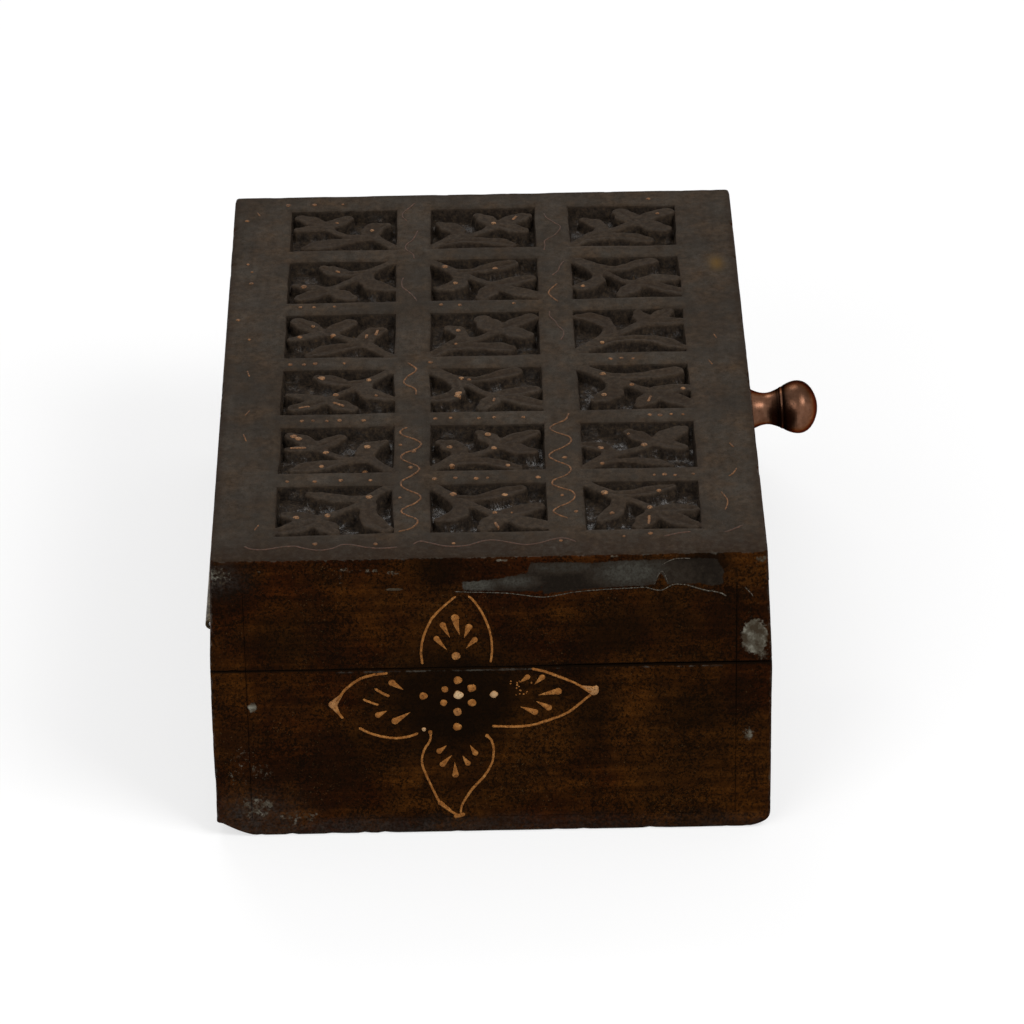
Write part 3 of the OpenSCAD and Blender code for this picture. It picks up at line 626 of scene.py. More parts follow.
# Leaves and stems of the pockets: chains of discs (across from the hinge side, down
# from the far edge, radius), for rows from the left end and columns from the back
SPRIGS = {
    (0, 0): [
        [(37.5, -.5, 1.8), (33.5, 3.5, 1.6), (30, 8, 1.9), (28.5, 10.5, 1.8)],
        [(28, 8.5, 1.5), (23, 8.3, 1.5), (18.5, 7.6, 2.1), (14, 6.2, 1.8), (10.5, 5, .7)],
        [(29.5, 11, 2.1), (29.3, 15, 2.1), (29.2, 19, 2.6), (31, 23.5, 3.3), (34.5, 27.5, 1.9)],
        [(28, 11.5, 1.3), (22, 15, 1.1), (17, 18.5, 1.3), (12.5, 20.5, 1.8)],
        [(12, 20, 1.8), (7.5, 18.8, 2.5), (3, 17, 1.2)], [(11, 22, 1.6), (6.5, 25, 3.0), (2, 27.5, 1.8)],
        [(13, 22, 1.7), (16, 25.5, 3.1), (18, 28.7, 1.5)]],
    (0, 1): [
        [(-.5, -.5, 1.8), (3.5, 4, 1.6), (7.5, 8.5, 1.9), (10, 10.5, 1.7)],
        [(9, 9, 1.4), (15, 9.2, 1.3), (19.5, 7.5, 2.3), (24.5, 5.3, 2.8), (28.5, 3.6, 1.7)],
        [(9, 10.5, 1.8), (10, 14.5, 1.9), (9.3, 18.5, 2.8), (6.3, 21, 2.2), (2.8, 22.3, .9)],
        [(10, 10.5, 1.4), (14.5, 14.5, 1.2), (19, 18, 1.3), (22.5, 19.8, 2.0)],
        [(24, 18.8, 1.8), (29, 16.8, 2.6), (34, 14.6, 1.6)],
        [(22, 21, 2.0), (20, 24.5, 3.1), (18, 27.7, 1.9)],
        [(25, 21.5, 1.8), (30.5, 25.3, 2.9), (36, 27, 2.1)]],
    (0, 2): [
        [(-.5, -.5, 1.7), (4, 4, 1.6), (8.5, 8, 1.7), (11.5, 10.5, 1.5)],
        [(10, 8.5, 1.2), (15.5, 8, 1.6), (20.5, 6.5, 2.3), (25, 4.8, 1.9), (28.5, 3.3, .7)],
        [(11.3, 11, 1.4), (10.8, 15, 2.0), (9, 19.5, 3.0), (6.5, 22.5, 2.2), (5, 24.7, .9)],
        [(12, 11, 1.2), (16.5, 13, 1.1), (20.5, 16.5, 1.2), (22.5, 19.5, 1.9)],
        [(24, 19, 1.9), (29, 18, 2.5), (34.5, 18.1, 1.7)],
        [(22, 21, 1.9), (19.5, 25, 3.0), (17, 28, 1.6)],
        [(25, 21.5, 2.0), (29.5, 25, 3.2), (34, 27.7, 2.0)]],
    (1, 0): [
        [(37.5, 31, 1.9), (33, 26, 1.6), (29, 21.5, 1.8), (24, 22.3, 1.5), (20, 23.5, 1.4)],
        [(28.5, 21, 1.6), (28, 17, 3.1), (29, 13.7, 3.1), (34, 10.9, .9)],
        [(20, 23.5, 1.3), (14, 25.3, 3.0), (9, 26.6, 3.1), (5.3, 28.4, 1.2)],
        [(28.5, 21.5, 1.4), (20, 20.3, 1.2), (15.5, 17, 1.2), (12, 13, 1.6)],
        [(12, 12, 1.9), (16, 9.5, 2.6), (19.3, 6.6, 1.6)],
        [(10, 13, 1.7), (6, 13.7, 1.9), (2.3, 13.8, 1.1)], [(11, 11, 1.5), (7, 7.5, 2.7), (3.6, 5, 1.6)]],
    (1, 1): [
        [(-.5, 31, 1.8), (3.5, 27, 1.6), (7.5, 22.5, 1.9), (11, 20.5, 1.7)],
        [(9.5, 20, 1.6), (9.7, 16.5, 2.4), (6.7, 13.6, 3.0), (3.3, 11.4, 1.1)],
        [(9, 21.8, 1.6), (14, 20.5, 1.3), (19, 17.5, 1.3), (22, 14, 1.9)],
        [(21.5, 12.5, 1.7), (18.8, 8.5, 2.8), (16.3, 5.2, 1.2)],
        [(23, 12, 1.7), (28, 9, 2.8), (32.5, 6.7, 2.2), (35, 5.6, .7)],
        [(24, 13.5, 1.8), (28.5, 16, 2.7), (32.7, 18, 1.4)],
        [(5, 27, 1.0), (11, 24.5, 1.5), (18, 24.4, 1.8), (23.5, 26.3, 2.4), (27.7, 28.7, 1.3)]],
    (1, 2): [
        [(-.5, 31.5, 1.8), (3.5, 27, 1.7), (8, 22.5, 1.8), (14, 19.5, 1.4), (19, 17, 1.4), (23, 13, 1.8)],
        [(8, 23, 1.5), (8.5, 19, 1.7), (6.5, 16.5, 2.6), (2.5, 15.2, 1.8), (-.5, 14.4, 1)],
        [(22, 12, 1.7), (18.5, 8.8, 2.7), (15.8, 6.2, 1.4)],
        [(24, 12.5, 1.9), (28, 9, 3.2), (32, 6, 2.6), (34, 4.3, .9)],
        [(25, 13.5, 1.7), (29, 15.4, 2.4), (32.7, 16.8, 1.3)],
        [(4, 28.3, 1), (11, 25.4, 1.1), (17.5, 24.8, 1.7), (23.5, 26.5, 2.0), (28.5, 29.1, .8)]],
    (2, 0): [
        [(37.5, -.5, 1.6), (33.5, 3.5, 1.5), (29, 8, 1.9), (26.5, 10.5, 1.7)],
        [(27, 9, 1.3), (22, 9.3, 1.2), (18.5, 8.2, 2.4), (15, 6.6, 2.6), (12, 4.8, 1.1)],
        [(27.5, 10, 1.9), (27.5, 14.5, 2.1), (30, 18, 3.1), (34, 20.3, 2.1), (37, 21, .9)],
        [(26.5, 11, 1.3), (22.5, 14, 1.1), (18.5, 17.5, 1.2), (15.5, 20.5, 1.8)],
        [(14.5, 20, 1.6), (10, 19, 1.8), (5, 18, 1.6), (2, 17.2, .9)],
        [(14, 21.5, 1.6), (9.5, 24, 2.6), (5, 26, 1.8)],
        [(16.5, 21.5, 1.7), (19.5, 24, 2.9), (22.7, 26.8, 1.7)]],
    (2, 1): [
        [(-.5, -.5, 1.8), (4, 4, 1.9), (8, 7.5, 2.2)],
        [(10, 7.5, 1.5), (15, 8.2, 1.3), (19.5, 6.8, 2.0), (24, 4.6, 2.6), (28, 3, 2.2)],
        [(8.5, 9, 1.9), (9.2, 13.5, 1.4), (9, 17, 2.2), (6.5, 20, 2.4), (2, 21.5, 1.8)],
        [(9, 8.5, 1.7), (13, 12, 1.2), (17, 16.5, 1.1), (21.5, 19.5, 1.7)],
        [(24, 18.5, 1.9), (29, 17, 2.4), (34.3, 15.8, 1.7)],
        [(22, 20.5, 2.0), (20, 24, 3.0), (17.5, 27.5, 1.7)],
        [(26, 21, 2.1), (31, 24, 2.6), (36, 26.5, 2.2)]],
    (2, 2): [
        [(-.5, -.5, 1.7), (4, 3, 1.5), (8.5, 7, 1.9), (11.5, 10, 2.1)],
        [(10, 7.5, 1.5), (16, 8.5, 1.6), (22, 8.3, 1.8), (27.5, 7, 2.7), (32.5, 5.2, 2.4)],
        [(12, 11, 1.9), (12.5, 15, 2.2), (11.5, 19, 3.1), (8.5, 21.5, 3.0), (5.3, 23.6, 1.1)],
        [(13, 11, 1.5), (16, 12.5, 1.2), (19.5, 15.5, 1.2), (23.5, 18.5, 1.7)],
        [(26, 18, 1.8), (31, 17.3, 2.3), (36, 16.5, 1.6)],
        [(24.5, 20.5, 2.0), (22.5, 24, 3.0), (20.5, 27.2, 1.5)],
        [(27, 20.5, 1.9), (31, 23.5, 3.1), (36, 27.5, 2.4)]],
    (3, 0): [
        [(37.5, 31, 1.6), (33, 27, 1.5), (28.5, 22.5, 1.9), (25, 20, 1.6), (20.5, 17.5, 1.3),
         (16.5, 14.5, 1.3)], [(27, 21, 1.4), (27.3, 16.5, 2.6), (29.5, 13, 2.9), (32.5, 11, 1.4)],
        [(24, 22, 1.2), (18, 23.6, 2.6), (13, 25.2, 3.0), (8.3, 28, 1.2)],
        [(14, 12.7, 1.9), (17, 9.5, 2.8), (21, 6, 2.3)],
        [(12, 13.5, 1.7), (6.5, 15.5, 1.9), (2.5, 17, 1.3)],
        [(11, 11.5, 1.6), (7, 7.5, 3.1), (4, 4, 2.0)]],
    (3, 1): [
        [(-.5, 31, 1.8), (4, 26.5, 1.8), (8.5, 22, 2.3), (12, 20, 1.9)],
        [(10.5, 19.5, 1.6), (11, 15.5, 1.4), (9, 12.3, 2.2), (6, 10.6, 1.2)],
        [(12, 20, 1.7), (16, 18, 1.4), (20.5, 14.5, 1.6), (23, 12, 2.0)],
        [(22.5, 12.5, 1.9), (19.8, 8.5, 3.8), (17.8, 5, 2.6)],
        [(24, 11, 1.8), (29, 7.5, 2.6), (34, 4.5, 2.4)],
        [(25, 12.5, 1.9), (29, 15, 3.1), (32.7, 17.2, 2.0)],
        [(6, 25.3, 1.4), (12.5, 23.8, 1.9), (18, 23.6, 2.0), (23, 24.4, 2.7), (26.5, 25.7, 1.8)]],
    (3, 2): [
        [(-.5, 31.5, 1.8), (4, 27, 1.8), (9, 22, 2.1), (12, 18.5, 2.2)],
        [(11.5, 18, 1.9), (12.3, 12.5, 1.7), (10, 7.5, 2.6), (6, 4.6, 2.6), (2, 4.3, 1.2)],
        [(12.5, 19, 1.7), (17.5, 15.5, 1.5), (22, 11.5, 1.8), (27, 9.5, 2.0)],
        [(26, 9.5, 1.9), (31, 9.5, 2.6), (36, 9.3, 1.8)], [(27, 8, 1.7), (30, 4, 2.6), (32, 1.7, 1.5)],
        [(24.5, 9, 1.7), (23, 5, 2.3), (22, 2, 1.2)],
        [(7, 25.5, 1.3), (13, 22, 1.4), (20, 21, 1.5), (27, 22, 1.9), (31.5, 24.5, 2.5), (36, 27, .9)]]}
# The two far rows repeat the near ones
SPRIGS.update({(4, 0): SPRIGS[2, 0], (4, 1): SPRIGS[0, 1], (4, 2): SPRIGS[2, 1],
               (5, 0): SPRIGS[1, 0], (5, 1): SPRIGS[1, 1], (5, 2): SPRIGS[3, 1]})
FULLER, LEAF_FULLER = 0.5, 0.9       # how much wider than its discs a stem or leaf is
JOIN = 0.5                           # how softly leaves and stems run together
BROAD = 2.2                          # a chain with a larger disc than this is a leaf
NEAR_BEND, FAR_BEND = 0.45, 0.9      # how far the leaves are bent out of true


def segments(discs):
    """The chain's pieces: both centres and both radii."""
    for (x0, y0, r0), (x1, y1, r1) in zip(discs[:-1], discs[1:]):
        yield np.array([x0, y0]), np.array([x1, y1]), r0, r1


def chain_depth(p, discs):
    """Distance of the points p inside a chain of discs, negative outside."""
    fuller = LEAF_FULLER if max(r for _, _, r in discs) > 2 else FULLER
    best = np.full(len(p), -99.0)
    for a, b, r0, r1 in segments(discs):
        t, near = to_segment(p, a, b)
        best = np.maximum(best, fuller + r0 + (r1 - r0) * smooth(t) - near)
    return best


def sprig(p, chains, rng):
    """Level of a leaf sprig at the points p of a pocket below the face, and how far
    inside its outline each point lies."""
    depths, levels = [], []
    for discs in chains:
        d = chain_depth(p, discs)
        broad = max(r for _, _, r in discs)
        dish = 0.26 * smooth(d, 0.9, broad * 0.95) * (broad > BROAD) * rng.uniform(0.2, 1.2)
        level = -rng.uniform(0.05, 0.35) - 0.20 * (1 - smooth(d, 0.25, 0.8)) - dish
        if broad > BROAD and rng.random() < 0.6:
            spine = np.minimum.reduce([to_segment(p, a, b)[1] for a, b, _, _ in segments(discs)])
            level = level - 0.20 * bell(spine, 0, 0.38) * smooth(d, 0.5, 1.4)
        depths.append(d)
        levels.append(level)
    depths, levels = np.array(depths), np.array(levels)
    top = depths.max(0)
    weight = np.exp((depths - top) / JOIN)
    total = weight.sum(0)
    return (weight * levels).sum(0) / total, top + JOIN * np.log(total)


def pocket_relief(x, y, inside, i, j):
    """Height in and round one pocket: its lip, wall, chiselled floor and sprig."""
    cx, cy = pocket_corner(i, j)
    rng = np.random.default_rng(SEED * 100 + i * 10 + j)
    p = np.stack([cy - y, cx + POCKET_L - x], 1)
    place = np.stack([p[:, 0], p[:, 1], np.full(len(p), 31.0 * i + 77.0 * j)], 1)
    bent = p + (NEAR_BEND if i < NEAR_ROWS else FAR_BEND) * shifts(place, 9, 5, 2)
    bent = bent + 0.14 * shifts(place, 2.5, 15, 2)
    level, depth = sprig(bent, SPRIGS[i, j], rng)
    chisel = 0.34 * fbm(place, 4.4, 3, 21) + 0.08 * vnoise(place, 1.3, 22)
    floor = -POCKET_D + chisel + 0.5 * smooth(depth, -1.4, -0.3)
    level = level + 0.06 * vnoise(place, 1.6, 23)
    inner = floor + (level - floor) * smooth(depth, -0.32, 0.30)
    ragged = inside + 0.16 * vnoise(place, 3.0, 24) + 0.08 * vnoise(place, 1.1, 25)
    wall = smooth(ragged, 0.0, 0.75)
    lip = -LIP_DROP * (1 - smooth(-inside, 0.0, 1.3))
    return np.where(inside > 0, inner * wall - LIP_DROP * (1 - wall), lip)


def pocket_heights(x, y):
    """Height of the carved face below TOP_Z, before the surface's small unevenness."""
    z = np.zeros(len(x))
    for i, j in POCKETS:
        inside = pocket_inside(x, y, i, j)
        near = inside > -LIP_REACH
        if near.any():
            z[near] = pocket_relief(x[near], y[near], inside[near], i, j)
    return z


def pocket_mask(x, y):
    """1 inside the pockets, 0 on the bars and margins."""
    return smooth(np.maximum.reduce([pocket_inside(x, y, i, j) for i, j in POCKETS]), -0.2, 0.8)


def top_surface(x, y):
    """The finished carved face at the design places x, y: points in millimetres."""
    flat = np.stack([x, y, np.zeros(len(x))], 1)
    hold = smooth(np.minimum(HALF_L - np.abs(x), CARVED_Y - np.abs(y)), 1.5, 9)
    return np.stack([
        x + hold * (0.55 * vnoise(flat, 27, 1) + 0.16 * vnoise(flat, 7, 2)),
        y + hold * (0.55 * vnoise(flat, 27, 3) + 0.16 * vnoise(flat, 7, 4)),
        TOP_Z + pocket_heights(x, y) + 0.10 * fbm(flat, 14, 3, 8) - 0.10], 1)


def lines_with_pockets(low, high, starts, width):
    """Grid lines that are fine inside the pockets and double at their walls."""
    def across_bar(start, end):
        return list(np.linspace(start, end, max(2, int((end - start) / BAR_GRID)))[1:])

    near, far = LIP_LINES
    lines = [low, *(low + s for s in RIM_LINES)]
    for s in starts:
        lines += across_bar(lines[-1], s - far) + [s - near, s]
        count = int((width - 2 * WALL_RUN) / GRID) + 1
        lines += [s + WALL_RUN / 2, *np.linspace(s + WALL_RUN, s + width - WALL_RUN, count)]
        lines += [s + width - WALL_RUN / 2, s + width, s + width + near, s + width + far]
    lines += across_bar(lines[-1], high - RIM_LINES[-1])
    lines += [high - RIM_LINES[1], high - RIM_LINES[0], high]
    return np.array(lines)


def outline_loop(place, chosen, last):
    """The chosen border points in order round the grid's outline."""
    ids = np.flatnonzero(chosen)
    x, y = place[ids, 0], place[ids, 1]
    key = np.where(y == 0, x, np.where(x == last[0], last[0] + y, np.where(
        y == last[1], 2 * last[0] + last[1] - x, 2 * last[0] + 2 * last[1] - y)))
    return ids[np.argsort(key)]


def shape_top(points, top):
    """Carves the top layer of the lattice, wears its edges and leans its long sides."""
    margin = np.minimum(HALF_L - np.abs(points[:, 0]), CARVED_Y - np.abs(points[:, 1]))
    touched = ~top | (margin < 3)
    points[top] = top_surface(points[top, 0], points[top, 1])
    low = np.array([-HALF_L, -CARVED_Y, SEAT_Z - 20])
    high = np.array([HALF_L, CARVED_Y, TOP_Z])
    shaped = round_off(points[touched], low, high, TOP_CORNER_R, axes=(0, 1))
    shaped = round_off(shaped, low, high, TOP_RIM_R)
    edge = exterior_edge(shaped, [TOP_Z])
    points[touched] = batter(shaped, low, high, edge, seed=41, depth=0.55)
    points[:, 1] *= np.where(top, 1.0, lid_y(np.minimum(points[:, 2], TOP_Z)) / CARVED_Y)


def dress_top(piece, points, design, is_top):
    """Stores where the carved board is deep, wet, gilt or a leaf, and its grime with painted shade."""
    level = TOP_Z - points[:, 2]
    put(piece, "leaf", is_top * pocket_mask(design[:, 0], design[:, 1]))
    put(piece, "wet", 1 - 0.65 * smooth(points[:, 0], -90, 40))
    put(piece, "gilt", 0.80 * is_top * bell(points[:, 0], 70, 5.0) * bell(points[:, 1], -80, 2.4))
    put(piece, "deep", np.where(is_top, np.clip(level / POCKET_D, 0, 1), 0))
    edge = exterior_edge(points, [TOP_Z])
    # Grime with painted shade along the top's edges; on the side faces the same numbers are the rubbed
    # edges
    grime_and_shade = np.where(is_top, 0.85 * (1 - smooth(edge, 0.6, 3.5)), 0.95 * (1 - smooth(edge, 0.1, 2.2)))
    # Painted shade, with grime, darkening the near margin towards the left end
    grime_and_shade = np.maximum(grime_and_shade, is_top * (1 - smooth(points[:, 0] + HALF_L, 4, 19)))
    # Painted shade round the pockets' lips and the leaves' outlines
    lip_shade = 0.62 * is_top * bell(level, 0.66, 0.34)
    wear_attributes(piece, points, [TOP_Z, SEAT_Z], np.maximum(grime_and_shade, lip_shade))


def carved_top():
    """The top board with its carved pockets, worn edges and flat underside."""
    xs = lines_with_pockets(-HALF_L, HALF_L, [pocket_corner(i, 0)[0] for i in range(ROWS)], POCKET_L)
    starts = sorted(pocket_corner(0, j)[1] - POCKET_W for j in range(COLS))
    ys = lines_with_pockets(-CARVED_Y, CARVED_Y, starts, POCKET_W)
    zs = steps(SEAT_Z, TOP_Z, size=0.8, edge=1.8, edge_size=EDGE_GRID)
    points, faces, place = lattice_box(xs, ys, zs)
    last = place.max(0)
    under, top = place[:, 2] == 0, place[:, 2] == last[2]
    border = ((place[:, :2] == 0) | (place[:, :2] == last[:2])).any(1)
    design = points.copy()
    shape_top(points, top)
    keep = ~under | border
    index = np.cumsum(keep) - 1
    solid = index[faces[keep[faces].all(1) & ~under[faces].all(1)]]
    loop = index[outline_loop(place, under & border, last)]
    kept, is_top = points[keep], top[keep]
    side_face = (~is_top[solid].all(1)).astype(int)
    piece = new_piece("carved_top_board", kept, solid.tolist() + [loop[::-1].tolist()], "lid",
                      [CARVED, LACQUER, INNER], side_face.tolist() + [2])
    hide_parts("lid_top_board")
    dress_top(piece, kept, design[keep], is_top)


# --------------------------------------------------------------------- boards

# Worn and bare places on the left end: distance to the right of the middle seen
# from that end, height above the table, half width, half height, strength
DARK_SPOTS = [
    (-12, 50, 15, 12, 1.2), (-66, 72, 9, 6, 0.7), (-17, 98, 5, 4, 0.8), (38, 74, 9, 7, 0.7),
    (60, 75, 20, 12, 0.42), (74, 42, 11, 14, 0.36), (64, 44, 8, 7, 0.6), (-84, 94, 7, 6, 0.7),
    (-38, 36, 8, 4, 0.5), (32, 47, 5, 12, 0.6), (68, 99, 5, 4, 0.9), (-46, 28, 12, 5, 0.4),
    (14, 52, 8, 6, 0.5)]
CHALK_SPOTS = [
    (83.2, 71.5, 2.9, 4.6, 1.0), (81.6, 35.4, 1.6, 2.2, 0.62), (-75.9, 48.6, 1.1, 1.4, 0.85),
    (-30, 91.2, 2.4, 0.45, 0.75), (-76, 11, 6, 5, 0.50), (-63, 7, 7, 3, 0.47), (85, 100, 2, 1.2, 0.58),
    (-85, 97, 5, 4, 0.50), (-44.5, 98.8, 3, 0.9, 0.52), (-46.6, 95.6, 0.6, 2.2, 0.5),
    (-37.5, 98.6, 4, 0.8, 0.52), (-30.5, 97.5, 2.5, 0.9, 0.48), (-80, 30, 4, 5, 0.42),
    (-74, 24, 4, 4, 0.45), (-60, 3, 9, 1.0, 0.47), (4, 101.4, 1.6, 0.45, 0.7),
    (-72, 98.6, 0.8, 0.6, 0.55), (39, 102, 1.4, 0.45, 0.6), (-82, 22, 4, 6, 0.40),
    (85.6, 65, 1.8, 2, 0.6), (85.5, 88, 0.8, 3, 0.42)]
BARE_SPOTS = [
    (-4, 92.3, 4.5, 2, 0.95), (8, 93.5, 5, 1.8, 0.75), (23, 98.6, 9, 1.6, 0.55),
    (44, 96, 8, 3.6, 0.85), (57, 95, 6, 3.4, 0.38), (69, 93, 6, 3, 0.16)]
PRIMER_PATCHES = [
    [(-8.5, 93.5), (1.8, 94.5), (11.8, 96.6), (13, 100.4), (30, 100.2), (30, 93.5), (16.8, 92.3),
     (15.5, 89.5), (4.3, 89.9), (-8.3, 90.4)],
    [(16.1, 92), (26, 94.4), (26.5, 99.6), (44, 100.6), (63.8, 100.8), (63.8, 91.4), (55.5, 91.4),
     (54.4, 94.4), (53.6, 95.8), (52.8, 94), (51.8, 91.2), (34.3, 90.4), (16.8, 88.6)],
    [(62, 91.6), (63.2, 101), (71, 100.6), (73.5, 96), (73, 91), (70, 90.2), (66, 91.4)]]
# Dusty corners of the left end: strength, place and reach across, place and reach up
DUSTY_CORNERS = [(0.80, -77, 13, 7, 8), (0.85, -86, 8, 96, 5)]


def spot_field(h, z, spots):
    """The strongest of the soft spots at each place."""
    best = np.zeros(len(h))
    for sh, sz, rh, rz, strength in spots:
        r = np.sqrt(((h - sh) / rh) ** 2 + ((z - sz) / rz) ** 2)
        best = np.maximum(best, strength * np.clip(1.45 - 0.65 * r, 0, 1))
    return best


def polygon_depth(h, z, corners):
    """Distance inside a polygon, negative outside."""
    p = np.stack([h, z], 1)
    c = np.asarray(corners, float)
    inside = np.zeros(len(p), bool)
    near = np.full(len(p), 1e9)
    for a, b in zip(c, np.roll(c, -1, axis=0)):
        near = np.minimum(near, to_segment(p, a, b)[1])
        crosses = (a[1] > z) != (b[1] > z)
        slope = (b[0] - a[0]) / (b[1] - a[1] if b[1] != a[1] else 1e-9)
        inside ^= crosses & (h < a[0] + slope * (z - a[1]))
    return np.where(inside, near, -near)


LEFT_SKIN = 1.2                      # the left end's outer face and rounded edges lie in this
PATCH_SOFT = 2.2                     # how wide a primer patch's edge is


def rubbed_edges(points, edge, left):
    """How far the edges are rubbed, also along the parting line of the left end."""
    h, z = -points[:, 1], points[:, 2]
    rubbed = (1 - smooth(edge, 0.1, 2.4)) * 0.95 * smooth(np.abs(z - RIM_Z), 1.0, 2.6)
    below = bell(z, RIM_Z - 1.0, 0.55) * smooth(h, -55, -45) * (1 - smooth(h, 70, 80))
    return np.maximum(rubbed, below * left * (0.95 + 0.35 * vnoise(points, 7, 66)))


def primer_field(points, edge, left):
    """Where the lacquer is flaked off: the left end's patches, small ones elsewhere."""
    depth = np.maximum.reduce([polygon_depth(-points[:, 1], points[:, 2], p) for p in PRIMER_PATCHES])
    elsewhere = smooth(fbm(points, 34, 3, 61), 0.62, 1.1) * (1 - smooth(edge, 0.5, 7)) * ~left
    return np.maximum(np.clip(0.5 + depth / PATCH_SOFT, 0, 1) * left, 0.6 * elsewhere)


def chalk_field(points, edge, left):
    """Pale chips: the left end's own, and small ones at the edges elsewhere."""
    chips = smooth(fbm(points, 16, 3, 63), 0.72, 1.1) * (1 - smooth(edge, 0.4, 3))
    spots = spot_field(-points[:, 1], points[:, 2], CHALK_SPOTS)
    return np.maximum(spots * left, 0.62 * chips * ~left)


def dark_field(points, left):
    """Stains, painted shade along the parting line, and the joints between the boards."""
    h, z = -points[:, 1], points[:, 2]
    wide = smooth(h, 8, 40) * left
    # Painted shade in the seam of the parting line, wider on the left end
    dark = 1 - smooth(np.abs(z - RIM_Z), 0.30 + 0.25 * wide, 0.62 + 0.4 * wide)
    for line in (-INNER_Y, INNER_Y):
        crack = np.abs(points[:, 1] - line + 0.12 * np.sin(z * 0.9)) + 0.2 * (z < 6)
        faint = 0.55 if line > 0 else 0.45 + 0.5 * smooth(z, 30, 60)
        dark = np.maximum(dark, faint * (1 - smooth(crack, 0.12, 0.42)) * left)
    return np.maximum(np.clip(spot_field(h, z, DARK_SPOTS), 0, 0.9) * left, dark)


def dust_field(points, left):
    """Dust along the foot of the left end and in two of its corners."""
    h, z = -points[:, 1], points[:, 2]
    foot = 1 - smooth(z + 1.2 * vnoise(points, 9, 68), 2.5, 8)
    dust = 0.62 * foot * (1 - 0.6 * smooth(h, -30, 60))
    for strength, corner_h, wide, corner_z, high in DUSTY_CORNERS:
        dust = np.maximum(dust, strength * bell(h, corner_h, wide) * bell(z, corner_z, high))
    return dust * left


def wear_attributes(piece, points, z_edges, edge_wear_and_shade=None):
    """Stores the wear of a lacquered board, most of it on the left end, and painted shade
    along the parting line; edge numbers that are given take the place of the rubbed edges.
    """
    edge = exterior_edge(points, z_edges)
    left = points[:, 0] < -HALF_L + LEFT_SKIN
    put(piece, "edge", rubbed_edges(points, edge, left) if edge_wear_and_shade is None else edge_wear_and_shade)
    put(piece, "chip", primer_field(points, edge, left))
    bare = spot_field(-points[:, 1], points[:, 2], BARE_SPOTS)
    put(piece, "bare", np.where(left, bare, 0.4))
    put(piece, "chalk", chalk_field(points, edge, left))
    put(piece, "dark", dark_field(points, left))
    put(piece, "dust", dust_field(points, left))


def inward_faces(points, faces):
    """1 for the faces inside the box and where the base and the lid meet, 0 outside."""
    x, y, z = np.abs(points[faces].mean(1) - (0, 0, RIM_Z)).T
    inside = (x < INNER_X + 0.01) & (y < INNER_Y + 0.01)
    meeting = (z < 0.01) & (x <= HALF_L - 2) & (y <= HALF_W - 2)
    return (inside | meeting).astype(int)


def swell(points, outer):
    """Lets the outer faces of a board fall back unevenly, never beyond the flat."""
    depth = np.minimum(0, 0.07 * (fbm(points, 18, 3, 91) - 1)) * smooth(outer, 0.85, 1.0)
    points[:, 0] += depth * (np.abs(points[:, 0]) > HALF_L - 0.5) * np.sign(points[:, 0])
    points[:, 1] += depth * (np.abs(points[:, 1]) > HALF_W - 2.5) * np.sign(points[:, 1])


def board(name, low, high, body, grid, cad_node, z_edges, shape, seed, cutters):
    """A lacquered board: a rounded, slightly uneven box with worn outer edges.
    Its faces on the inside of the box keep the bare wood."""
    lines = [steps(low[k], high[k], grid[k], EDGE_RUN, EDGE_GRID) for k in range(3)]
    points, faces, _ = lattice_box(*lines)
    inner = inward_faces(points, faces)
    points = shape(round_off(points, low, high, BOARD_R))
    edge = exterior_edge(points, z_edges)
    outer = np.maximum(smooth(np.abs(points[:, 0]), INNER_X, HALF_L),
                       smooth(np.abs(points[:, 1]), INNER_Y, HALF_W))
    points = batter(points, *box_between(-50, 150), edge + 4 * (outer < 0.9), seed, depth=0.7)
    swell(points, outer)
    piece = new_piece(name, points, faces.tolist(), body, [LACQUER, INNER], inner)
    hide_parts(cad_node)
    wear_attributes(piece, points, z_edges)
    is_end = high[0] - low[0] < high[1] - low[1]
    put(piece, "crosswise", np.full(len(points), float(is_end)))
    for cutter in cutters:
        carve(piece, cutter)


def carve(piece, cutter):
    """Takes the cutter's shape out of the piece and deletes the cutter."""
    mod = piece.modifiers.new("cut", "BOOLEAN")
    mod.operation = "DIFFERENCE"
    mod.solver = "EXACT"
    mod.object = cutter
    bpy.context.view_layer.update()
    dg = bpy.context.evaluated_depsgraph_get()
    made = bpy.data.meshes.new_from_object(piece.evaluated_get(dg))
    piece.modifiers.clear()
    old = piece.data
    piece.data = made
    bpy.data.meshes.remove(old)
    bpy.data.objects.remove(cutter)


GAPE = 0.34                          # how far the lid gapes at the front of the left end


def upright_round(points):
    """Rounds the box's upright corners."""
    return round_off(points, *box_between(-60, 200), CORNER_R, axes=(0, 1))


def base_round(points):
    """Rounds the base's upright corners and its rim."""
    return round_off(upright_round(points), *box_between(-60, RIM_Z), RIM_R)


def lid_round(points):
    """Rounds the lid's upright corners and its lower edge, lifts that edge a little at
    the left end, where it gapes, and leans the long sides in."""
    points = round_off(upright_round(points), *box_between(RIM_Z, 200), RIM_R)
    outer = (points[:, 0] < -HALF_L + 3) & (points[:, 2] < RIM_Z + 4)
    lift = GAPE * smooth(-points[:, 1], 8, 40) * (1 - smooth(points[:, 2], RIM_Z, RIM_Z + 4))
    points[:, 2] += outer * lift * (1 - smooth(points[:, 0], -HALF_L + 1, -HALF_L + 3))
    scale = lid_y(np.maximum(points[:, 2], RIM_Z)) / HALF_W
    outside = smooth(np.abs(points[:, 1]), INNER_Y, HALF_W)
    points[:, 1] *= 1 + (scale - 1) * outside
    return points


FOOT_REACH, BACK_REACH, FOOT_STRIP = 11.5, 14.5, 0.6
PLANED = 6.4                         # how high the back bottom corner is planed off


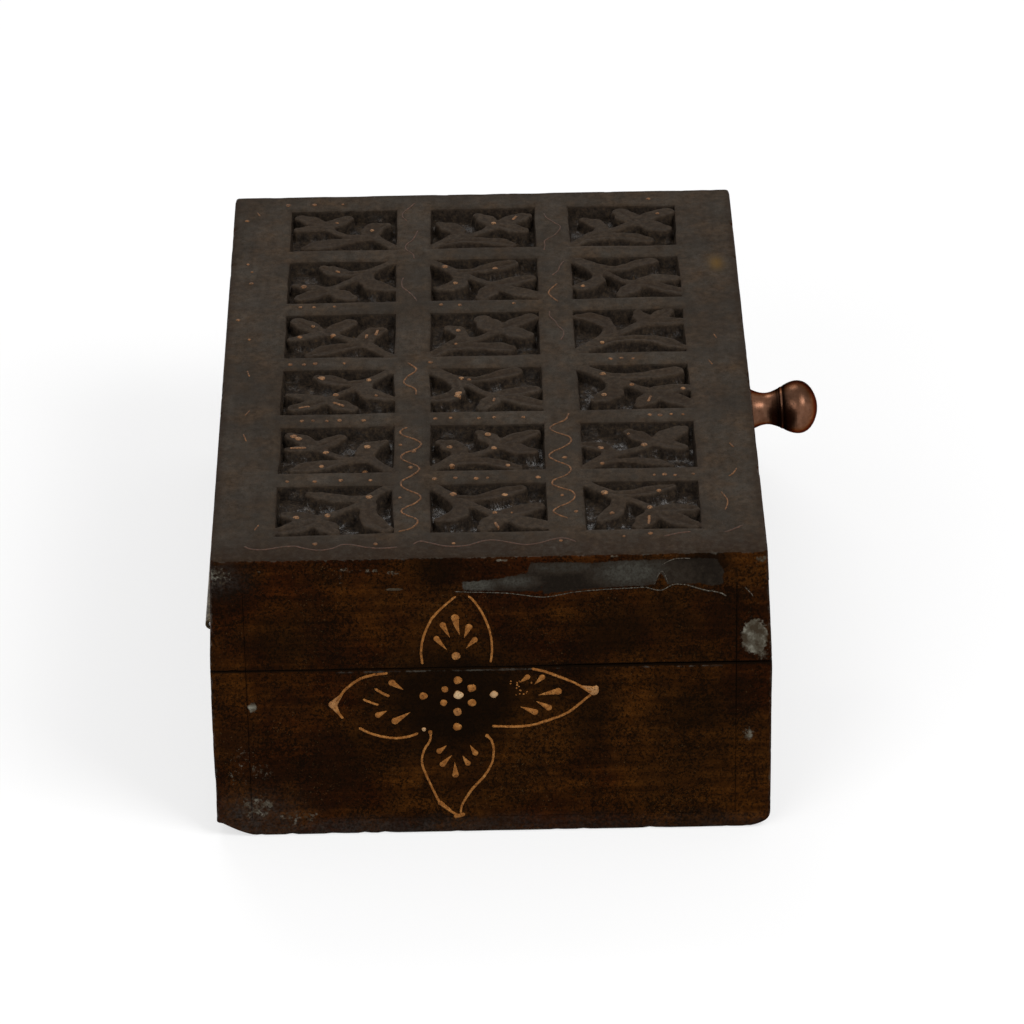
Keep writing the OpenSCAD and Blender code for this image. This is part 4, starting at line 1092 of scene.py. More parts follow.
def foot_z(x, y):
    """Height of the underside at x, y: the long edges round up, and the back corner of
    the left end is planed off further."""
    u = np.clip((np.abs(y) - (HALF_W - FOOT_REACH)) / FOOT_REACH, 0, 1)
    sprung = (FLOOR_Z - FOOT_STRIP) * (1 - np.sqrt(np.maximum(0, 1 - u * u)))
    v = np.clip((y - HALF_W + BACK_REACH) / BACK_REACH, 0, 1)
    planed = PLANED * v ** 1.6 * (1 - smooth(x + HALF_L, 5, 19))
    return np.maximum(sprung, np.minimum(planed, FLOOR_Z - FOOT_STRIP))


def bottom_board():
    """The bottom board, with rounded long edges and the pins' holes underneath."""
    turn = np.sin(np.linspace(0, math.pi / 2, 19))
    rise = HALF_W - (BACK_REACH + 1) * (1 - turn)
    ys = np.concatenate([-rise[::-1], np.linspace(-rise[0], rise[0], 70)[1:-1], rise])
    xs = steps(-HALF_L, HALF_L, 2.0, EDGE_RUN, EDGE_GRID)
    points, faces, _ = lattice_box(xs, ys, np.linspace(0, FLOOR_Z, 5))
    x, y, z = points[faces].mean(1).T
    inner = (z > FLOOR_Z - 0.01) & (np.abs(x) < HALF_L - 3) & (np.abs(y) < HALF_W - 3)
    lift = foot_z(points[:, 0], points[:, 1])
    points[:, 2] = lift + points[:, 2] / FLOOR_Z * (FLOOR_Z - lift)
    points = upright_round(points)
    points = round_off(points, (-HALF_L, -300, 0), (HALF_L, 300, 200), FOOT_R, axes=(0, 2))
    edge = np.minimum(HALF_L - np.abs(points[:, 0]), HALF_W - np.abs(points[:, 1]))
    points = batter(points, *box_between(-9, 40), edge, seed=77, depth=0.6)
    points[:, 2] = np.maximum(points[:, 2], 0)
    piece = new_piece("bottom_board", points, faces.tolist(), "base",
                      [LACQUER, INNER], inner)
    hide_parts("base_bottom_board")
    wear_attributes(piece, points, [0.0])
    carve(piece, pin_cutters())


PIN_HOLE_R, PIN_SIDES = 1.36, 20     # radius of a pin's hole, and its corners
PIN_HEAD_Z, PIN_APART = 1.8, 3       # the heads lie below this, and further apart


def pin_heads():
    """Middle and height of each pin's head in the bottom board."""
    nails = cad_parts["bottom_board_nails"]
    co = np.array([v.co for v in nails.data.vertices]) / MM
    heads = co[co[:, 2] < PIN_HEAD_Z]
    centres = []
    for p in heads:
        if all(np.hypot(*(p - c)[:2]) > PIN_APART for c in centres):
            near = heads[np.hypot(*(heads - p)[:, :2].T) < PIN_APART]
            centres.append(np.append(near[:, :2].mean(0), near[:, 2].min()))
    return centres


def pin_cutters():
    """Short cylinders where the bottom board's pins were punched in."""
    verts, faces = [], []
    sides = range(PIN_SIDES)
    for x, y, z in pin_heads():
        base = len(verts)
        for level in (-3.0, z + 0.25):
            turns = [2 * math.pi * k / PIN_SIDES for k in sides]
            verts += [(x + PIN_HOLE_R * math.cos(a), y + PIN_HOLE_R * math.sin(a), level) for a in turns]
        low = [base + k for k in sides]
        high = [base + PIN_SIDES + k for k in sides]
        faces += [low[::-1], high]
        faces += [[low[k], low[k + 1 - PIN_SIDES], high[k + 1 - PIN_SIDES], high[k]] for k in sides]
    return mesh_object("pin_holes", verts, faces)


HINGE_CLEAR = 0.35                   # room round a hinge
RECESS = 1.3                         # depth of a leaf's recess
GROOVE_TURN, GROOVE_STEPS = 145, 16  # degrees and steps of the barrel's groove


def hinge_cutter(name, leaf):
    """What a hinge takes out of a back board: the leaf's recess and the barrel's groove."""
    low, high = node_box(f"{name}_{leaf}_leaf")
    pin_low, pin_high = node_box(f"{name}_pin")
    _, axis_y, axis_z = (pin_low + pin_high) / 2
    radius = high[1] - axis_y + HINGE_CLEAR
    s = 1 if leaf == "lid" else -1
    meet = axis_y - math.sqrt(radius ** 2 - RECESS ** 2)
    back = low[1] - 0.06
    outline = [(back, axis_z - s), (back, axis_z + s * RECESS), (meet, axis_z + s * RECESS)]
    for k in range(1, GROOVE_STEPS + 1):
        a = math.radians(GROOVE_TURN - GROOVE_TURN * k / GROOVE_STEPS)
        y, z = axis_y + radius * math.cos(a), axis_z + s * radius * math.sin(a)
        if y > meet:
            outline.append((y, z))
    outline.append((axis_y + radius, axis_z - s))
    n = len(outline)
    verts = [(x, y, z) for x in (low[0] - HINGE_CLEAR, high[0] + HINGE_CLEAR) for y, z in outline]
    faces = [list(range(n)), list(range(n, 2 * n))[::-1]]
    faces += [[k, k + n, (k + 1) % n + n, (k + 1) % n] for k in range(n)]
    cutter = mesh_object("hinge_recess", verts, faces)
    face_outward(cutter)
    return cutter


# Grids along X, Y and Z; the left end, which is near the camera, has the finest
LONG_GRID, LEFT_GRID, RIGHT_GRID = (1.5, 1.5, 1.2), (1.2, 0.75, 0.75), (1.5, 1.4, 1.2)
# The side boards: side, kind, low and high corner in X and Y, grid, seed
SIDES = [
    ("front", "board", (-HALF_L, -HALF_W), (HALF_L, -INNER_Y), LONG_GRID, 31),
    ("back", "board", (-HALF_L, INNER_Y), (HALF_L, HALF_W), LONG_GRID, 32),
    ("left", "end", (-HALF_L, -INNER_Y), (-INNER_X, INNER_Y), LEFT_GRID, 35),
    ("right", "end", (INNER_X, -INNER_Y), (HALF_L, INNER_Y), RIGHT_GRID, 36)]


def boards():
    """All the boards of the base and the lid, apart from the carved top and the bottom."""
    for side, kind, low, high, grid, seed in SIDES:
        hinges = ("left_hinge", "right_hinge") if side == "back" else ()
        board(f"{side}_{kind}", (*low, FLOOR_Z), (*high, RIM_Z), "base", grid, f"base_{side}_{kind}",
              [RIM_Z], base_round, seed, [hinge_cutter(h, "base") for h in hinges])
        board(f"lid_{side}_side", (*low, RIM_Z), (*high, SEAT_Z), "lid", grid, f"lid_{side}_{kind}",
              [RIM_Z, TOP_Z], lid_round, seed + 2, [hinge_cutter(h, "lid") for h in hinges])


# --------------------------------------------------------------- relief paint

def run_along(path):
    """Length of the path up to each of its points."""
    return np.concatenate([[0], np.cumsum(np.linalg.norm(np.diff(path, axis=0), axis=1))])


def curve(points, spacing=0.35):
    """A smooth path through the points, cut into even short steps."""
    p = np.asarray(points, float)
    if len(p) == 2:
        count = max(3, int(np.linalg.norm(p[1] - p[0]) / spacing))
        return p[0] + np.linspace(0, 1, count)[:, None] * (p[1] - p[0])
    ends = np.vstack([2 * p[0] - p[1], p, 2 * p[-1] - p[-2]])
    t = np.linspace(0, 1, 24, endpoint=False)[:, None]
    path = []
    for a, b, c, d in zip(ends[:-3], ends[1:-2], ends[2:-1], ends[3:]):
        path.append(0.5 * (2 * b + (c - a) * t + (2 * a - 5 * b + 4 * c - d) * t ** 2
                           + (3 * b - 3 * c + d - a) * t ** 3))
    path = np.vstack(path + [p[-1:]])
    run = run_along(path)
    even = np.linspace(0, run[-1], max(4, int(run[-1] / spacing)))
    return np.stack([np.interp(even, run, path[:, k]) for k in range(2)], 1)


class Relief:
    """Collects raised strokes and dots of paint on one face of the box.
    The place function turns flat coordinates and a lift into points."""

    ROUND = 11                       # points across a ridge
    DOT_SIDES, DOT_RINGS = 22, 6
    SUNK = 0.35                      # how far a mark's foot goes into the surface

    def __init__(self, place, seed, material):
        self.place = place
        self.material = material
        self.rng = np.random.default_rng(seed)
        self.points, self.faces, self.pale, self.count = [], [], [], 0

    def keep(self, points, faces, pale):
        """Adds a mark; its faces already count on from the points before it."""
        self.points.append(points)
        self.faces += faces
        self.pale.append(pale)
        self.count += len(points)

    def sweep(self, path, radius, lift, pale=0.0):
        """A ridge along the path; its half width and height change along it."""
        along = np.gradient(path, axis=0)
        along /= np.maximum(np.linalg.norm(along, axis=1), 1e-9)[:, None]
        across = np.stack([-along[:, 1], along[:, 0]], 1)
        turn = np.linspace(0, math.pi, self.ROUND)
        side = np.cos(turn)
        crown = np.sin(turn) ** 0.8
        flat = path[:, None, :] + across[:, None, :] * (radius[:, None] * side)[:, :, None]
        high = lift[:, None] * crown - self.SUNK * (np.abs(side) > 0.999)
        n = len(path)
        grid = np.arange(n * self.ROUND).reshape(n, self.ROUND) + self.count
        under = np.stack([grid[:-1, -1], grid[1:, -1], grid[1:, 0], grid[:-1, 0]], -1).tolist()
        caps = [grid[0].tolist(), grid[-1][::-1].tolist()]
        points = self.place(flat.reshape(-1, 2), high.reshape(-1))
        self.keep(points, sheet_quads(grid).tolist() + under + caps, pale * np.tile(crown, n))

    def stroke(self, points, width=1.05, pale=0.0, height=0.40, head=0.0):
        """A painted line with rounded ends, thicker at the head if asked."""
        path = curve(points)
        jitter = self.rng.normal(0, 0.045, (len(path), 2))
        kernel = np.array([0.25, 0.5, 0.25])
        path = path + np.stack([np.convolve(jitter[:, k], kernel, "same") for k in range(2)], 1)
        run = run_along(path)
        total = run[-1]
        bulges = max(3, int(total / 3))
        bulge = np.interp(run, np.linspace(0, total, bulges), self.rng.uniform(-1, 1, bulges))
        half = 0.5 * width * (1 + 0.14 * bulge)
        half = half + head * bell(run, 0, 1.2 * width)
        ends = np.minimum(run, total - run)
        half = half * np.sqrt(np.clip(1 - (1 - np.clip(ends / half, 0, 1)) ** 2, 0.004, 1))
        self.sweep(path, half, height * np.clip(half / (0.5 * width), 0.05, 1.5), pale)

    def drop(self, head, tip, radius, pale=0.0, height=0.45):
        """A teardrop: a round head drawn out to a fine tip."""
        head, tip = np.asarray(head, float), np.asarray(tip, float)
        length = np.linalg.norm(tip - head)
        u = (tip - head) / length
        rounded, drawn = np.linspace(-1, 0.4, 14), np.linspace(0.4, length / radius, 14)
        t = np.concatenate([rounded[:-1], drawn]) * radius
        round_part = np.sqrt(np.maximum(radius ** 2 - t ** 2, 0))
        taper = radius * 0.94 * np.clip(1 - t / length, 0.03, 1) ** 0.85
        half = np.where(t < 0, round_part, np.maximum(np.where(t < 0.35 * radius, round_part, 0), taper))
        half = np.maximum(half, 0.05)
        bend = self.rng.normal(0, 0.04) * length * (t / length) ** 2
        path = head + t[:, None] * u + bend[:, None] * np.array([-u[1], u[0]])
        self.sweep(path, half, height * np.clip(half / radius, 0.08, 1) ** 0.8, pale)

    def drops(self, *marks):
        """Teardrops, each given by its head, tip and radius."""
        for head, tip, radius in marks:
            self.drop(head, tip, radius)

    def dot(self, centre, radius, pale=0.0, height=0.48):
        """A domed drop of paint with a slightly uneven outline."""
        centre = np.asarray(centre, float)
        count, rings = self.DOT_SIDES, self.DOT_RINGS
        turn = np.linspace(0, 2 * math.pi, count, endpoint=False)
        wob = 1 + sum(self.rng.normal(0, 0.035) * np.cos(k * turn + self.rng.uniform(0, 6))
                      for k in (2, 3, 4))
        flat, high = [centre[None, :]], [np.array([height])]
        for k in range(1, rings + 1):
            s = math.sin(0.5 * math.pi * k / rings)
            flat.append(centre + radius * s * np.stack([wob * np.cos(turn), wob * np.sin(turn)], 1))
            high.append(np.full(count, height * math.cos(0.5 * math.pi * k / rings)))
        flat.append(flat[-1])
        high.append(np.full(count, -self.SUNK))
        grid = self.count + 1 + np.arange((rings + 1) * count).reshape(-1, count)
        high = np.concatenate(high)
        pale_here = pale * np.clip(high / height, 0, 1) ** 0.5
        self.keep(self.place(np.vstack(flat), high), ring_faces(grid, self.count), pale_here)

    def finish(self, name, body):
        """Makes the piece; its faces are turned outward."""
        piece = new_piece(name, np.vstack(self.points), self.faces, body,
                          [self.material])
        face_outward(piece)
        put(piece, "pale", np.concatenate(self.pale))


def on_left_end(flat, lift):
    """Flat coordinates on the left end: distance right of the middle, height."""
    return np.stack([-HALF_L + 0.04 - lift, -flat[:, 0], flat[:, 1]], 1)


def on_top(flat, lift):
    """Flat coordinates on the top: X and Y, on the carved surface as it is there."""
    middle = top_surface(flat[:, 0], flat[:, 1])
    return np.stack([flat[:, 0], flat[:, 1], middle[:, 2] + lift], 1)


def on_leaf(x, y, reach):
    """A place function for one leaf's dot: level, at the leaf's height there."""
    around = np.array([(0, 0), (reach, 0), (-reach, 0), (0, reach), (0, -reach)]) + (x, y)
    level = np.median(top_surface(around[:, 0], around[:, 1])[:, 2])

    def place(flat, lift):
        return np.stack([flat[:, 0], flat[:, 1], level - 0.1 + np.where(lift < 0, -0.8, lift)], 1)
    return place


LINE = 0.80                          # width of the flower's outlines
SPATTER = 16                         # number of fine dots beside the front petal


def flower_on_lid():
    """The painted flower's upper petal.  Coordinates were read off the photograph."""
    lid = Relief(on_left_end, 3, PAINT)
    lid.stroke([(-10.6, 88.4), (-14.5, 84.75), (-18.25, 80.4), (-20.75, 74.75), (-22, 68.5),
                (-21.6, 63.6)], LINE)
    lid.stroke([(-6.8, 88.4), (-5.6, 87.2), (-3.9, 84.75), (-1.75, 80.4), (-0.1, 74.75), (0.4, 68.5),
                (-0.1, 63.75)], LINE)
    lid.drops(((-11, 80.4), (-10.4, 74.1), 1.35), ((-14.9, 77.9), (-13, 73.25), 1.05),
              ((-6.75, 77), (-8.25, 73.0), 1.15), ((-17, 72.9), (-14.0, 68.7), 1.0),
              ((-5, 72.25), (-7.8, 69.2), 1.0))
    lid.dot((-11, 66.4), 1.4, 0.05)
    lid.finish("flower_on_lid", "lid")


def centre_dots(base):
    """The dots in the middle of the flower."""
    for place, radius, pale in [
            ((-10.5, 51.9), 1.55, 0.72), ((-10.6, 57.4), 1.4, 0), ((-6.25, 54.4), 1.4, 0),
            ((-6.25, 48.9), 1.35, 0), ((-10.9, 45.6), 1.4, 0.05), ((-11.1, 40.0), 1.4, 0),
            ((-15.25, 49.1), 1.15, 0), ((-14.75, 54.1), 1.1, 0), ((-21.6, 51.75), 1.3, 0),
            ((0.75, 51.9), 1.3, 0.45)]:
        base.dot(place, radius, pale)


def back_petal(base):
    """The petal towards the back of the box."""
    base.stroke([(-32.6, 60.5), (-38.25, 59.75), (-42.6, 57.9), (-46.4, 54.5), (-48.6, 51.3),
                 (-49.8, 49.2), (-48.8, 46.4), (-47.2, 43.8)], LINE)
    base.drop((-50.3, 49.2), (-46.8, 53.8), 1.45, 0.1)
    base.drop((-50.3, 49.2), (-48.0, 44.6), 1.4, 0.1)
    base.stroke([(-42.4, 40.4), (-38.25, 37.9), (-32, 36.25), (-27, 36.6), (-23.5, 37.9)], LINE)
    base.dot((-21.7, 39.3), 0.7, 0.5)
    base.drops(((-31.4, 56.9), (-28, 54.1), 1.15), ((-36.1, 45), (-33.25, 46.4), 1.05),
               ((-30.75, 42.6), (-26, 45.75), 1.2))
    base.stroke([(-37, 55), (-34.6, 53.2), (-32.25, 51.9)], 0.8)
    base.stroke([(-40.75, 51), (-38, 49.6), (-35.75, 48.75)], 0.8)


def lower_petal(base):
    """The petal that points down."""
    base.stroke([(-19.75, 38.9), (-19.75, 35.4), (-22, 31), (-22.5, 26), (-20.5, 19.75), (-17.25, 11.6),
                 (-14.6, 8.8), (-11.4, 6.4)], LINE, head=0.45)
    base.drop((-17.0, 11.3), (-13.4, 8.4), 0.85)
    base.stroke([(-2, 37), (0.1, 33.5), (0, 27.25), (-2.6, 21.6), (-7, 16), (-10.1, 10.4), (-10.6, 7.2)],
                LINE, head=0.45)
    base.stroke([(-12.9, 6.0), (-10.9, 6.4), (-9.2, 7.0)], 1.5)
    base.drops(((-17, 31), (-14.5, 32.9), 0.95), ((-16, 26), (-13.25, 29.5), 1.0),
               ((-12, 22), (-12.1, 26.6), 1.1), ((-8, 26.25), (-9.75, 28.9), 0.95),
               ((-5.5, 30), (-7.25, 32.9), 0.95))


def front_petal(base):
    """The petal towards the knob's side, with a spatter of fine dots."""
    base.stroke([(12.75, 61.25), (16.75, 60.1), (21.75, 57.9), (26.75, 55.4), (30.25, 52.9),
                 (32, 52.4)], LINE)
    base.drop((32.3, 52.6), (27.4, 54.6), 1.7, 0.15)
    base.stroke([(31.8, 51.6), (32.8, 53.0), (33.4, 54.5)], 1.7, 0.2)
    base.stroke([(31.6, 51.2), (29.9, 49.75), (24.25, 44.75), (18, 41.9), (11.75, 40), (5.5, 39.75),
                 (-0.1, 40.1)], LINE)
    base.drops(((16.1, 57.9), (13.6, 55.4), 1.0), ((21.1, 52.6), (14.9, 51.4), 1.2),
               ((18, 46.6), (14.25, 49.1), 1.1), ((13.6, 45), (9.25, 47.25), 1.1),
               ((11.4, 58.1), (9, 56), 0.95))
    for _ in range(SPATTER):
        place = (8.2 + base.rng.normal(0, 1.7), 53.6 + base.rng.normal(0, 1.9))
        base.dot(place, base.rng.uniform(0.16, 0.34), 0.0, 0.2)


def flower_on_base():
    """The painted flower's other three petals and its centre."""
    base = Relief(on_left_end, 4, PAINT)
    centre_dots(base)
    back_petal(base)
    lower_petal(base)
    front_petal(base)
    base.finish("flower_on_base", "base")


# Where things sit on the top, in sixths of a millimetre of the flattened view of
# it: across from the hinge side, and down from the far end
PER_MM = 6
VIEW_X, VIEW_Y = 130, 90             # X and Y of the view's corner
LEFT_BAR_SCROLL = [
    [(385, 770), (402, 800), (384, 830), (378, 855), (400, 880), (402, 905)],
    [(385, 1035), (372, 1050), (377, 1067), (400, 1084), (412, 1101), (404, 1120), (380, 1138),
     (373, 1156), (386, 1173), (404, 1189), (408, 1206), (395, 1226), (377, 1245), (374, 1263),
     (386, 1281), (405, 1297), (412, 1313), (401, 1333), (382, 1350), (375, 1365), (386, 1379),
     (403, 1393), (405, 1410), (391, 1431), (370, 1440)]]
RIGHT_BAR_SCROLL = [
    [(702, 990), (694, 1015), (672, 1035), (664, 1050), (676, 1066), (700, 1084), (703, 1104),
     (690, 1124), (668, 1142), (660, 1160), (672, 1178), (694, 1196), (701, 1215), (690, 1236),
     (669, 1252), (664, 1270), (678, 1284), (700, 1298), (706, 1318), (696, 1340), (674, 1358),
     (664, 1374), (676, 1390), (690, 1400)],
    [(690, 440), (672, 480), (690, 520)]]
NEAR_SCROLL = [
    [(80, 1484), (92, 1495), (112, 1500), (132, 1496), (152, 1489), (176, 1488), (196, 1497),
     (222, 1505), (246, 1499), (266, 1485), (288, 1488), (312, 1498), (340, 1502), (369, 1499)],
    [(397, 1489), (411, 1478), (432, 1486), (462, 1499), (498, 1497), (528, 1481), (550, 1478),
     (576, 1486), (610, 1498), (640, 1490), (662, 1479), (684, 1477), (704, 1491)],
    [(870, 1475), (900, 1463), (922, 1459)],
    [(985, 1465), (1004, 1452), (1020, 1440)]]
# Faint, rubbed scrolls on the far bars: distance across, start and end down
FAR_SCROLLS = [
    (388, 60, 150), (394, 190, 330), (384, 400, 520), (682, 120, 300), (690, 340, 420), (684, 560, 690)]
LEFT_EDGE_MARKS = [
    [(105, 1405), (98, 1425)], [(65, 1050), (72, 1080)], [(75, 955), (66, 975)], [(65, 790),
    (70, 815)], [(65, 90), (72, 110)]]
RIGHT_EDGE_MARKS = [
    [(1010, 1120), (1018, 1138)], [(1020, 1220), (1012, 1240), (1003, 1252)], [(985, 1310),
    (996, 1345), (990, 1380)], [(1000, 670), (1006, 690)], [(985, 780), (992, 800)]]
TOP_DOTS = [
    (213, 1480), (327, 1485), (474, 1488), (676, 1485), (795, 1472), (845, 1463), (53, 330), (62, 365),
    (62, 415), (45, 130), (40, 575), (65, 660), (130, 60), (185, 60), (245, 60), (890, 60),
    (178, 1002), (200, 1002), (227, 1004), (252, 1001), (299, 1003), (440, 1002), (470, 1000),
    (525, 1003), (555, 1001), (612, 1003), (860, 1002), (880, 1004), (902, 1001), (925, 1003),
    (155, 1241), (208, 1243), (258, 1240), (315, 1242), (438, 1241), (478, 1239), (518, 1242),
    (540, 1240), (637, 1242), (860, 1241), (880, 1239), (900, 1243), (935, 1240), (150, 768),
    (178, 770), (200, 767), (258, 768), (430, 769), (790, 768), (812, 766), (835, 769), (165, 524),
    (193, 525), (235, 523), (452, 524), (490, 526), (600, 523), (372, 1104), (398, 1131), (392, 1194),
    (372, 1310), (690, 1166), (682, 1313), (707, 1376)]
# Dots on the leaves of each pocket: across, down, radius
LEAF_DOTS = {
    (0, 0): [(29.5, 7.3, 1.15), (16.5, 18.7, 1.05), (6.5, 19.2, 1.1)],
    (0, 1): [(7.5, 6.5, 1.2), (24, 7.0, 1.05), (20.7, 18.7, .8), (26, 18.6, .4)],
    (0, 2): [(7, 7.3, 1.15), (24.3, 6.6, .8), (21, 17.2, .95), (9, 20, .85)],
    (1, 0): [(15.3, 16.8, 1.0), (28.6, 13.5, 1.15), (14, 25.8, .9), (28, 24.4, 1.1), (4.6, 5.6, 1.2),
        (6.2, 7.1, 1.2)],
    (1, 1): [(6.5, 14.5, 1.0), (19, 6.8, 1.1), (20.8, 16.0, 1.0), (7.2, 26.8, .85), (25.2, 26.9, .8)],
    (1, 2): [(6.5, 16.6, 1.1), (20.7, 15.6, 1.1), (6.8, 27.2, .75), (15.8, 8.0, .5)],
    (2, 0): [(12.9, 5.4, 1.3), (28.6, 7.6, .95), (17.9, 17.4, 1.05), (31.2, 18.3, .6)],
    (2, 1): [(10.5, 7.2, .85), (13, 8.0, .8), (9.6, 17.6, 1.2), (9.3, 19.6, 1.1)],
    (2, 2): [(8.6, 6.4, 1.0), (18, 14.0, .85), (8.6, 20.0, 1.0), (34.8, 17.4, .9)],
    (3, 0): [(16.3, 14.8, .95), (5.2, 15.8, .9), (9.5, 8.3, .7)],
    (3, 1): [(9.6, 13.0, .85), (8.8, 22.6, .6)], (3, 2): [(9, 23.4, .8)], (4, 0): [(5.7, 18.2, 1.1)],
    (4, 1): [(5.2, 5.2, 1.15), (22.5, 6.8, 1.0), (8.8, 17.5, .9)], (4, 2): [(3.5, 21.2, .8)],
    (5, 0): [(28.6, 15.0, .8)], (5, 1): [(22.3, 12.0, .9)], (5, 2): [(31, 6.4, .7)]}
# Brush strokes on the leaves of each pocket: from, to
LEAF_STROKES = {
    (0, 1): [(20.6, 24.8, 21.7, 28.2)], (0, 2): [(20.8, 21.6, 20.3, 27.6)],
    (1, 0): [(3.4, 13.8, 9.0, 13.9)], (2, 0): [(16.9, 22.2, 20.8, 25.2), (5.6, 25.8, 9.6, 24.6)],
    (2, 1): [(21.4, 21.4, 20.9, 24.0)], (2, 2): [(24.0, 21.6, 22.9, 25.9)],
    (3, 0): [(31.3, 11.0, 30.5, 15.2), (27.7, 14.0, 27.4, 17.0)], (4, 0): [(16.2, 6.8, 18.0, 8.0)],
    (5, 0): [(15.6, 8.6, 17.0, 9.9)], (5, 1): [(30.5, 6.4, 28.9, 9.4)]}


def top_place(u, v):
    """X and Y of a place read off the flattened view of the top."""
    return VIEW_X - v / PER_MM, VIEW_Y - u / PER_MM


def top_relief():
    """Dots and scrolls of paint on the bars, margins and leaves of the top."""
    top = Relief(on_top, 5, RUBBED)
    rng = top.rng
    for group, width, lift in ((LEFT_BAR_SCROLL, 0.60, 0.22), (RIGHT_BAR_SCROLL, 0.56, 0.20),
                               (LEFT_EDGE_MARKS, 0.46, 0.16), (RIGHT_EDGE_MARKS, 0.50, 0.18)):
        for line in group:
            top.stroke([top_place(*p) for p in line], width, rng.uniform(0, 0.05), lift)
    for p in TOP_DOTS:
        top.dot(top_place(*p), rng.uniform(0.5, 0.9), rng.uniform(0, 0.25), 0.30)
    for (i, j), dots in LEAF_DOTS.items():
        cx, cy = pocket_corner(i, j)
        for u, v, radius in dots:
            x, y = cx + POCKET_L - v, cy - u
            top.place = on_leaf(x, y, 0.6 * radius)
            top.dot((x, y), radius, rng.uniform(0.1, 0.7), 0.5)
    for (i, j), strokes in LEAF_STROKES.items():
        cx, cy = pocket_corner(i, j)
        for u0, v0, u1, v1 in strokes:
            top.place = on_leaf(cx + POCKET_L - (v0 + v1) / 2, cy - (u0 + u1) / 2, 0.5)
            top.stroke([(cx + POCKET_L - v0, cy - u0), (cx + POCKET_L - v1, cy - u1)], 1.0, 0.2, 0.35)
    top.finish("top_relief_paint", "lid")


def faint_scrolls():
    """The rubbed scrolls of the far bars and of the near margin."""
    margin = Relief(on_top, 7, FAINT)
    for across, start, end in FAR_SCROLLS:
        down = np.arange(start, end, 21)
        wave = across + 15 * np.sin(down / 24.5) + margin.rng.normal(0, 3, len(down))
        margin.stroke([top_place(u, v) for u, v in zip(wave, down)], 0.5, 0, 0.14)
    for line in NEAR_SCROLL:
        margin.stroke([top_place(*p) for p in line], 0.66, 0, 0.14)
    margin.finish("near_margin_scroll", "lid")


# Lifted edges of the lacquer on the left end: places and width
PEELING_LINES = [
    ([(-10.8, 90), (5.5, 89.1), (16.8, 87.5), (26.8, 89.1), (35.5, 89.8), (48.6, 90.4)], 0.26),
    ([(48.6, 90.4), (53.6, 89.2), (57.6, 91.2), (61.8, 91.0)], 0.32),
    ([(61.8, 91.0), (66.8, 89.1), (71.8, 88.0), (74.3, 86.6)], 0.40),
    ([(51.6, 91.6), (53.9, 96.4), (56.1, 91.4)], 0.24),
    ([(79.9, 89.8), (81.8, 87.6), (82.7, 86.2)], 0.28),
    ([(54, 98.8), (58, 100.8), (63, 100.9)], 0.22)]


def peeling_edges():
    """Lifted pale edges of the lacquer round the bare primer of the left end."""
    lid = Relief(on_left_end, 6, PEELING)
    for points, width in PEELING_LINES:
        lid.stroke(points, width, 0.2, 0.14)
    lid.finish("peeling_lacquer_on_lid", "lid")


# ----------------------------------------------------------------- turned knob

# The knob's outline: distance from the front board, radius there
KNOB_OUTLINE = [
    (0.0, 7.1), (0.3, 7.15), (0.7, 6.85), (1.0, 6.6), (1.8, 6.2), (2.8, 5.8), (3.7, 5.52), (4.6, 5.35),
    (5.5, 5.3), (6.4, 5.36), (7.3, 5.55), (8.2, 5.86), (9.0, 6.18), (9.6, 6.46), (9.85, 6.56),
    (10.05, 6.74), (10.3, 6.90), (10.55, 6.99), (10.8, 7.05), (11.0, 7.12), (11.2, 7.25), (11.5, 7.46),
    (11.9, 7.7), (12.8, 8.12), (13.7, 8.47), (14.6, 8.72), (15.5, 8.86), (16.4, 8.88), (17.3, 8.75),
    (18.2, 8.45), (19.1, 7.95), (20.0, 7.2), (20.9, 6.05), (21.5, 5.0), (22.0, 3.8), (22.4, 2.5),
    (22.6, 1.4), (22.7, 0.0)]
KNOB_DROP = 19.6                     # how far the knob's middle is below the carved face
KNOB_SUNK = 0.06                     # how far its foot goes into the front
KNOB_SIDES = 96


def knob_grime_and_shade(along, height, uneven):
    """Dirt with painted shade round the knob's ring and down its neck, and painted shade on top of its
    head.
    """
    # Bands either side of the ring, and the neck: painted shade with some dirt
    ring = 0.60 * bell(along, 11.5, 0.8) + 0.60 * bell(along, 9.5, 0.7) - 0.25 * bell(along, 10.6, 0.3)
    neck = 0.22 * (1 - smooth(along, 9, 12)) + 0.3 * smooth(-along, -1.5, 0.0)
    # Painted shade on top of the head, which dims the highlight there
    crown = 0.52 * smooth(height + 0.8 * uneven, 3.2, 7.0) * smooth(along, 10, 13)
    return np.clip(ring + neck + crown, 0, 0.9)


